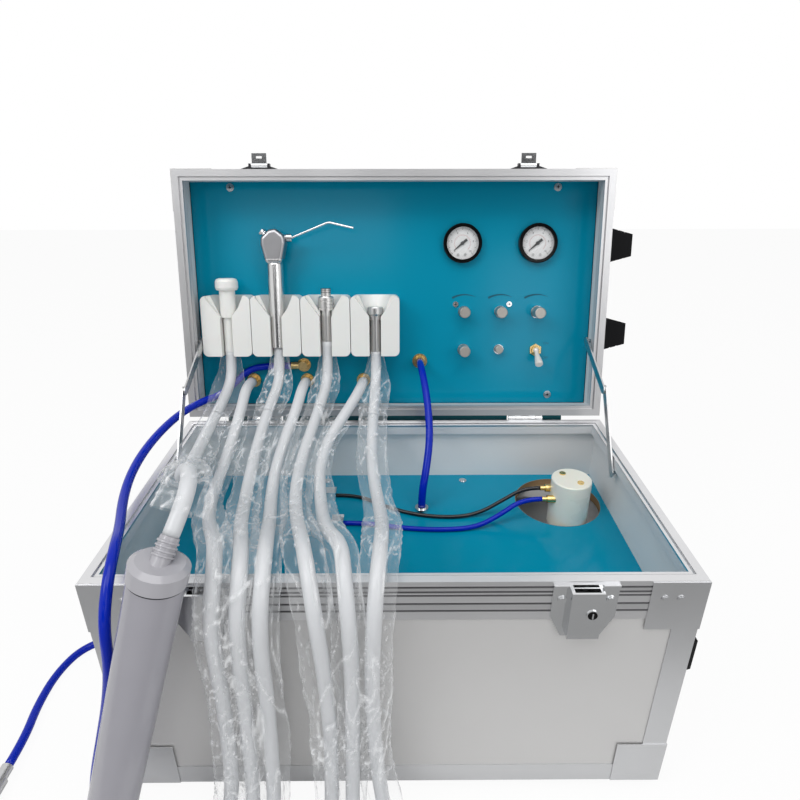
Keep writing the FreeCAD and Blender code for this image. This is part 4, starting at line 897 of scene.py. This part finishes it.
def sleeve(name, line, start, stop, half_width, seed):
    """A film tube round the hose from start to stop metres along its line."""
    part = spaced(line, start, stop, FILM_STEP)
    vertices = []
    fold_highlights = []
    shift = Vector((seed * 3.7, seed * 1.3, seed * 7.1))
    for i, (point, (side, up)) in enumerate(zip(part, frames_along(part))):
        along = i * FILM_STEP
        swell = 0.88 + 0.30 * noise.noise(Vector((along * WAVES["swell"], seed * 5.1, 0.3)))
        gather = 0.62 + 0.38 * min(1.0, along / GATHERED_END)
        lean = 2.2 * noise.noise(Vector((along * WAVES["lean"], seed * 2.3, 4.7)))
        wrinkle = noise.noise(Vector((along * WAVES["crumple"], 8.1, seed * 3.3)))
        crumple = min(1.0, max(0.0, 0.15 + 3.0 * wrinkle))
        for k in range(FILM_SIDES):
            turn = 2 * math.pi * k / FILM_SIDES
            way = side * math.cos(turn) * half_width * swell * gather + up * math.sin(turn) * FILM_HALF_HEIGHT
            long_fold = ridge(turn + lean, along * WAVES["fold"], 1.3, shift, 8.0)
            cross_fold = ridge(turn, along * WAVES["cross"], 1.2, shift * 2.0, 9.0) * crumple
            round_spot = Vector((math.cos(turn) * 1.1, math.sin(turn) * 1.1, along * WAVES["dent"]))
            dent = noise.noise(round_spot + shift)
            reach = way.length
            grown = reach + long_fold * FOLD_RISE + cross_fold * CRUMPLE_RISE - abs(dent) * DENT_DEPTH
            spot = point + way * max(FILM_CLOSEST / reach, grown / reach)
            spot.z = max(spot.z, FILM_FLOOR)
            vertices.append(spot)
            # The fold number drives the painted highlight along each fold.
            fold_highlights.append(min(1.0, long_fold ** 4 * 0.7 + cross_fold ** 3 * 0.9))
    faces = ring_faces(len(part), FILM_SIDES, capped=False)
    piece = add_piece(name, vertices, faces, FILM)
    mark = piece.data.attributes.new("fold", "FLOAT", "POINT")
    mark.data.foreach_set("value", fold_highlights)
    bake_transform(piece)
    length = line_length(part)


SLEEVES = (
    ("film_1", "hose_1", 0.006, 0.372, 0.0205),
    ("film_2_out", "hose_2", 0.011, 0.62, 0.0180),
    ("film_2_back", "hose_2", 0.91, 1.43, 0.0155),
    ("film_3_out", "hose_3", 0.018, 0.62, 0.0180),
    ("film_3_back", "hose_3", 0.91, 1.42, 0.0155),
    ("film_4_out", "hose_4", 0.006, 0.62, 0.0180),
    ("film_4_back", "hose_4", 0.91, 1.44, 0.0155),
)
for seed, (name, hose, start, stop, half) in enumerate(SLEEVES):
    sleeve(name, HOSE_LINES[hose], start, stop, half, seed)

# %% [markdown]
# ## What repeats, by Geometry Nodes
# A scale on a dial, the grip round a knob and the cross in a screw's head are each one small shape, repeated
# by a rule. Geometry Nodes suits that: a tree with named sizes makes the first, and the same tree with other
# numbers makes the rest. Each result is kept as a plain mesh, so that it can ride on its own body.


# %% Wrap a geometry tree
class Pattern(Tree):
    """A Geometry Nodes tree with named sizes, whose result is kept as a plain mesh."""

    def __init__(self, name, **sizes):
        self.tree = bpy.data.node_groups.new(name, "GeometryNodeTree")
        self.sizes = sizes
        self.tree.interface.new_socket("Geometry", in_out="INPUT", socket_type="NodeSocketGeometry")
        self.ids = {}
        for size, value in sizes.items():
            kind = "NodeSocketInt" if isinstance(value, int) else "NodeSocketFloat"
            socket = self.tree.interface.new_socket(size, in_out="INPUT", socket_type=kind)
            self.ids[size] = socket.identifier
        self.tree.interface.new_socket("Geometry", in_out="OUTPUT", socket_type="NodeSocketGeometry")
        self.inside = self.tree.nodes.new("NodeGroupInput")

    def size(self, name):
        return Wire(self, self.inside.outputs[name])

    def close(self, geometry, finish):
        real = self.node("GeometryNodeRealizeInstances", inputs={0: geometry})
        self.dressed = self.tree.nodes.new("GeometryNodeSetMaterial")
        self.feed(self.dressed.inputs["Geometry"], real)
        self.dressed.inputs["Material"].default_value = finish
        out = self.tree.nodes.new("NodeGroupOutput")
        self.tree.links.new(self.dressed.outputs[0], out.inputs[0])

    def make(self, name, matrix, body, slot, finish=None, points=(), **sizes):
        seed = bpy.data.meshes.new(name + "_seed")
        seed.from_pydata([tuple(p) for p in points], [], [])
        holder = show(name + "_seed", seed)
        if finish:
            self.dressed.inputs["Material"].default_value = finish
        modifier = holder.modifiers.new("pattern", "NODES")
        modifier.node_group = self.tree
        for size, value in {**self.sizes, **sizes}.items():
            modifier[self.ids[size]] = value
        graph = bpy.context.evaluated_depsgraph_get()
        mesh = bpy.data.meshes.new_from_object(holder.evaluated_get(graph))
        bpy.data.objects.remove(holder)
        mesh.transform(matrix)
        mesh.shade_flat()
        return show(name, mesh, body)


print("pattern helper ready")

# %% [markdown]
# The first tree sets bars on a ring, each one pointing away from the middle. Long thin bars make a dial's
# scale and short thick ones make the knurled grip of a knob.


# %% Grow a ring of bars
def bar_ring():
    made = Pattern(
        "ring of bars", Count=11, Radius=0.015, Start=0.0, Sweep=6.0, Length=0.002, Width=0.0004, Depth=0.0001
    )
    index = made.node("GeometryNodeInputIndex")
    turn = index / (made.size("Count") - 1.0) * made.size("Sweep") + made.size("Start")
    across = turn.math("COSINE") * made.size("Radius")
    up = turn.math("SINE") * made.size("Radius")
    spot = made.node("ShaderNodeCombineXYZ", inputs={0: across, 1: up})
    spots = made.node("GeometryNodePoints", inputs={"Count": made.size("Count"), "Position": spot})
    sides = {0: made.size("Length"), 1: made.size("Width"), 2: made.size("Depth")}
    bar = made.node("GeometryNodeMeshCube", inputs={"Size": made.node("ShaderNodeCombineXYZ", inputs=sides)})
    facing = made.node("ShaderNodeCombineXYZ", inputs={2: turn})
    values = {"Points": spots, "Instance": bar, "Rotation": facing}
    made.close(made.node("GeometryNodeInstanceOnPoints", inputs=values), PLASTICS["ink"])
    return made


def cross_stamp():
    """A pair of crossed bars on every point of the holder's own mesh, in painted shade for a screw's cross
    recess.
    """
    made = Pattern("screw crosses", Length=0.0034, Width=0.0007, Depth=0.0002)
    points = made.node("GeometryNodeMeshToPoints", inputs={0: Wire(made, made.inside.outputs["Geometry"])})
    arms = []
    for sides in (("Length", "Width"), ("Width", "Length")):
        values = {0: made.size(sides[0]), 1: made.size(sides[1]), 2: made.size("Depth")}
        size = made.node("ShaderNodeCombineXYZ", inputs=values)
        arms.append(made.node("GeometryNodeMeshCube", inputs={"Size": size}))
    join = made.tree.nodes.new("GeometryNodeJoinGeometry")
    for arm in arms:
        made.tree.links.new(arm.socket, join.inputs[0])
    values = {"Points": points, "Instance": Wire(made, join.outputs[0])}
    # The crosses are painted shade for the screws' recesses.
    made.close(made.node("GeometryNodeInstanceOnPoints", inputs=values), PLASTICS["shadow"])
    return made


RING = bar_ring()
CROSS = cross_stamp()
print("trees", [group.name for group in bpy.data.node_groups])

# %% [markdown]
# ## Dials
# Each dial has an outer scale with long marks at its numbers, a finer inner scale in red, plain numbers and
# two small screws. A scale of this kind sweeps three quarters of a turn and leaves the bottom open.

# %% Print the dials
DIALS = ((76.5, 192.6), (161.2, 192.6))
DIAL_FACE = -42.2
SCALE_LIFT = 0.08
NUMBER_LIFT = 0.12
SCREW_LIFT = 0.02
ZERO = math.radians(225)
SWEEP = math.radians(-270)
SCALES = {
    "major": dict(Count=11, Radius=0.0158, Length=0.0026, Width=0.00045, finish=PLASTICS["ink"]),
    "minor": dict(Count=51, Radius=0.0163, Length=0.0014, Width=0.00022, finish=PLASTICS["ink"]),
    "inner": dict(Count=46, Radius=0.0090, Length=0.0011, Width=0.00022, finish=PLASTICS["red_ink"]),
}
NUMBERS = (0, 2, 4, 6, 8, 10)
NUMBER_RING = 12.3
NUMBER_SIZE = 0.0032
DIAL_SCREWS = {"left": (-4.6, -12.6), "right": (3.4, -12.6)}
DIAL_SCREW_RADIUS = 0.0016
BOSS_RISE = 0.0005


def lid_place(u, v, w):
    return LID_FRAME @ Matrix.Translation(Vector((u, v, w)) * MM)


def lettering(name, text, size, place, finish):
    """A printed word or number that rides on the lid."""
    curve = bpy.data.curves.new(name, "FONT")
    curve.body = text
    curve.size = size
    curve.align_x = "CENTER"
    curve.align_y = "CENTER"
    curve.resolution_u = 3
    mesh = mesh_of(curve)
    mesh.transform(place)
    mesh.materials.clear()
    mesh.materials.append(finish)
    return show(name, mesh, "lid")


def disc(name, place, radius, body, finish):
    """A low round boss whose face is rounded at its edge."""
    sides = 20
    rings = ((radius, 0.0), (radius, BOSS_RISE * 0.6), (radius * 0.85, BOSS_RISE))
    vertices = []
    for reach, height in rings:
        for k in range(sides):
            turn = 2 * math.pi * k / sides
            vertices.append(place @ Vector((reach * math.cos(turn), reach * math.sin(turn), height)))
    return add_piece(name, vertices, ring_faces(len(rings), sides), finish, body, smooth=False)


for n, (u, v) in enumerate(DIALS, 1):
    face = lid_place(u, v, DIAL_FACE + SCALE_LIFT)
    for scale, sizes in SCALES.items():
        RING.make(f"dial_{n}_{scale}", face, "lid", "needle_black", Start=ZERO, Sweep=SWEEP, **sizes)
    for i, number in enumerate(NUMBERS):
        turn = ZERO + SWEEP * i / (len(NUMBERS) - 1)
        across = NUMBER_RING * math.cos(turn)
        up = NUMBER_RING * math.sin(turn)
        spot = lid_place(u + across, v + up, DIAL_FACE + NUMBER_LIFT)
        lettering(f"dial_{n}_number_{number}", str(number), NUMBER_SIZE, spot, PLASTICS["ink"])
    for side, (across, up) in DIAL_SCREWS.items():
        spot = lid_place(u + across, v + up, DIAL_FACE + SCREW_LIFT)
        disc(f"dial_{n}_screw_{side}", spot, DIAL_SCREW_RADIUS, "lid", METALS["steel"])
print("dials printed", len(DIALS))

# %% [markdown]
# ## Knobs, screws and print on the panel
# The valve knobs are knurled so that a gloved finger can turn them. The screws have cross recesses, drawn as
# thin bars in painted shade. Over each of the three upper knobs a tapered arc shows which way to turn for
# more.
# The toggle switch has ON and OFF.

# %% Dress the panel's small parts
KNOBS = {
    "knob_1": (79.7, 116.2, 13.5),
    "knob_2": (121.3, 116.2, 15.5),
    "knob_3": (163.0, 116.2, 19.0),
    "knob_4": (79.7, 72.5, 17.0),
}
KNURLS = 44
KNURL_SWEEP = 2 * math.pi * (KNURLS - 1) / KNURLS
KNURL_SIZES = dict(Radius=0.0062, Length=0.0005, Width=0.00045, Depth=0.0070)
KNURL_SETBACK = 5.0
for name, (u, v, length) in KNOBS.items():
    spot = lid_place(u, v, PANEL + length - KNURL_SETBACK)
    RING.make(
        name + "_knurl", spot, name, "steel", finish=METALS["knob"],
        Count=KNURLS, Sweep=KNURL_SWEEP, **KNURL_SIZES,
    )

SCREWS = [(u, v, PANEL + 2.15) for u in (-181.3, 181.3) for v in (18.0, 252.8)]
SMALL_SCREWS = [(u, 124.6, PANEL + 1.95) for u in (70.3, 132.1)]
CROSS.make("panel_screw_crosses", LID_FRAME, "lid", "chrome", points=metres(SCREWS))
CROSS.make("small_screw_crosses", LID_FRAME, "lid", "chrome", points=metres(SMALL_SCREWS), Length=0.0026)

PRINT_LIFT = 0.05
ARC_STEPS = 24
ARC_RADIUS = 30.0
ARC_HALF_ANGLE = 28
ARC_WIDTH = 2.4
ARC_TIP = 0.15
ARC_RISE = 20.0
SWITCH_U = 177.0
SWITCH_WORDS = {"ON": 79.0, "OFF": 62.0}
SWITCH_SIZE = 0.0040


def turn_arc(name, u, v):
    """A flat crescent over a knob, thick at its left end and fading to a point at its right."""
    outer = []
    inner = []
    for k in range(ARC_STEPS + 1):
        share = k / ARC_STEPS
        turn = math.radians(90 + ARC_HALF_ANGLE - 2 * ARC_HALF_ANGLE * share)
        thick = ARC_WIDTH * (1.0 - share) ** 0.8 + ARC_TIP
        for edge, reach in ((outer, ARC_RADIUS), (inner, ARC_RADIUS - thick)):
            edge.append(Vector((reach * math.cos(turn), reach * math.sin(turn) - ARC_RADIUS, 0)) * MM)
    place = lid_place(u, v + ARC_RISE, PANEL + PRINT_LIFT)
    vertices = [place @ point for point in outer + inner]
    count = len(outer)
    faces = [(k, count + k, count + k + 1, k + 1) for k in range(ARC_STEPS)]
    add_piece(name, vertices, faces, PLASTICS["faded_ink"], "lid", smooth=False)


for name in ("knob_1", "knob_2", "knob_3"):
    turn_arc(name + "_arc", KNOBS[name][0], KNOBS[name][1])
for text, v in SWITCH_WORDS.items():
    spot = lid_place(SWITCH_U, v, PANEL + PRINT_LIFT)
    lettering("switch_" + text, text, SWITCH_SIZE, spot, PLASTICS["faded_ink"])
print("knobs", len(KNOBS), "screws", len(SCREWS) + len(SMALL_SCREWS))

# %% [markdown]
# ## Locks
# Each lock has a key barrel in its cover: a round face in painted shade for the keyhole, with a bright bar
# for the slot of the key.

# %% Cut the keyholes
BARRELS = {"left": (-0.1356, -0.1398, 0.2104), "right": (0.1446, -0.1398, 0.2104)}
BARREL_RADIUS = 0.0036
SLOT_LIFT = 0.0006
SLOT_SIZES = dict(Count=1, Radius=0.0, Start=0.0, Sweep=0.0, Length=0.0011, Width=0.0052, Depth=0.0004)
for side, place in BARRELS.items():
    front = Matrix.Translation(place) @ Matrix.Rotation(math.radians(90), 4, "X")
    # Painted shade: the barrel's face is near black where the keyhole's hollow would be in shade.
    disc(f"key_barrel_{side}", front, BARREL_RADIUS, "base", PLASTICS["shadow"])
    raised = front @ Matrix.Translation((0, 0, SLOT_LIFT))
    RING.make(f"key_slot_{side}", raised, "base", "chrome", finish=METALS["chrome"], **SLOT_SIZES)
print("keyholes cut")

# %% [markdown]
# ## Floor, light and room
# The case stands on a plain pale floor in soft studio light: a broad key high on the left, a weaker fill from
# the right, a wide lamp overhead and a pale room all round. Two small lamps in front give the gloss its
# window lights, and two cards that only gloss can see give it something dark. Metal, glass and the camera see
# the room as white, while the light that it really gives is lower, so that pale plastic keeps its shading.


# %% Build the room
class Shading(Tree):
    """A bare shader tree that mixes two shaders by the kind of ray that meets them."""

    def __init__(self, tree):
        self.tree = tree
        self.tree.nodes.clear()

    def rays(self, *kinds):
        """1 for a ray of any of these kinds, 0 for any other."""
        found = [self.node("ShaderNodeLightPath", output=kind) for kind in kinds]
        share = found[0]
        for other in found[1:]:
            share = share.math("MAXIMUM", other)
        return share

    def close(self, kind, share, first, second):
        mixed = self.node("ShaderNodeMixShader", inputs={0: share, 1: first, 2: second})
        out = self.tree.nodes.new(kind)
        self.feed(out.inputs["Surface"], mixed)


FLOOR_HALF = 3.0
FLOOR_DROP = 0.0005
FLOOR_WHITENESS = 0.94
WHITE = (1, 1, 1)


def card_piece(name, half_x, half_y, finish):
    corners = [(-half_x, -half_y, 0), (half_x, -half_y, 0), (half_x, half_y, 0), (-half_x, half_y, 0)]
    return add_piece(name, corners, [(0, 1, 2, 3)], finish, smooth=False)


def studio_floor():
    material = bpy.data.materials.new("pale floor")
    material.use_nodes = True
    made = Shading(material.node_tree)
    diffuse = made.node("ShaderNodeBsdfDiffuse", inputs={"Color": (0.86, 0.86, 0.86)})
    white = made.node("ShaderNodeEmission")
    share = made.rays("Is Camera Ray") * FLOOR_WHITENESS
    made.close("ShaderNodeOutputMaterial", share, diffuse, white)
    floor = card_piece("floor", FLOOR_HALF, FLOOR_HALF, material)
    floor.location.z = -FLOOR_DROP
    floor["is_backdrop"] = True


def room_light(strength):
    world = bpy.data.worlds.new("room")
    bpy.context.scene.world = world
    world.use_nodes = True
    made = Shading(world.node_tree)
    room = made.node("ShaderNodeBackground", inputs={"Color": WHITE, "Strength": strength})
    white = made.node("ShaderNodeBackground", inputs={"Color": WHITE})
    share = made.rays("Is Camera Ray", "Is Glossy Ray", "Is Transmission Ray")
    made.close("ShaderNodeOutputWorld", share, room, white)


def flag(name, place, aim, size, finish):
    """A card that only gloss and mirrors can see, as is set beside shiny things."""
    card = card_piece(name, size[0] / 2, size[1] / 2, finish)
    card.location = place
    card.rotation_euler = (Vector(aim) - Vector(place)).to_track_quat("Z", "Y").to_euler()
    card.visible_camera = False
    card.visible_diffuse = False
    card.visible_shadow = False
    card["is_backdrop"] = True


def lamp(name, place, aim, size, power):
    data = bpy.data.lights.new(name, "AREA")
    data.shape = "RECTANGLE"
    data.size, data.size_y = size
    data.energy = power
    made = show(name, data)
    made.location = place
    made.rotation_euler = (Vector(aim) - Vector(place)).to_track_quat("-Z", "Y").to_euler()


studio_floor()
room_light(0.42)
lamp("key", place=(-1.25, -1.0, 1.75), aim=(0, 0, 0.25), size=(0.9, 0.7), power=12)
lamp("fill", place=(1.1, -1.3, 1.1), aim=(0, 0, 0.25), size=(0.8, 1.0), power=5)
lamp("top", place=(0.0, -0.45, 1.7), aim=(0, 0, 0.2), size=(1.4, 0.9), power=10)
lamp("left window", place=(-0.40, -2.0, 1.02), aim=(-0.40, 0.2, 0.90), size=(0.75, 0.34), power=1.3)
lamp("right window", place=(0.62, -2.0, 0.60), aim=(0.62, 0.2, 0.50), size=(0.34, 0.62), power=1.3)
flag("dark card", (0.0, -2.2, 0.8), (0.0, 0.2, 0.6), (2.4, 1.5), PLASTICS["ink"])
flag("low card", (0.0, -0.58, 0.003), (0.0, -0.58, 1.0), (2.4, 0.60), PLASTICS["grey_card"])
bpy.context.scene.view_settings.view_transform = "Standard"
print("room lit")

# %% Measure the sizes
low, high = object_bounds()
sizes = {"cad": [list(CAD_LOW), list(CAD_HIGH)], "visual": [list(low), list(high)]}
print("grown by", [round(v * 1000, 1) for v in (*(CAD_LOW - low), *(high - CAD_HIGH))], "mm")
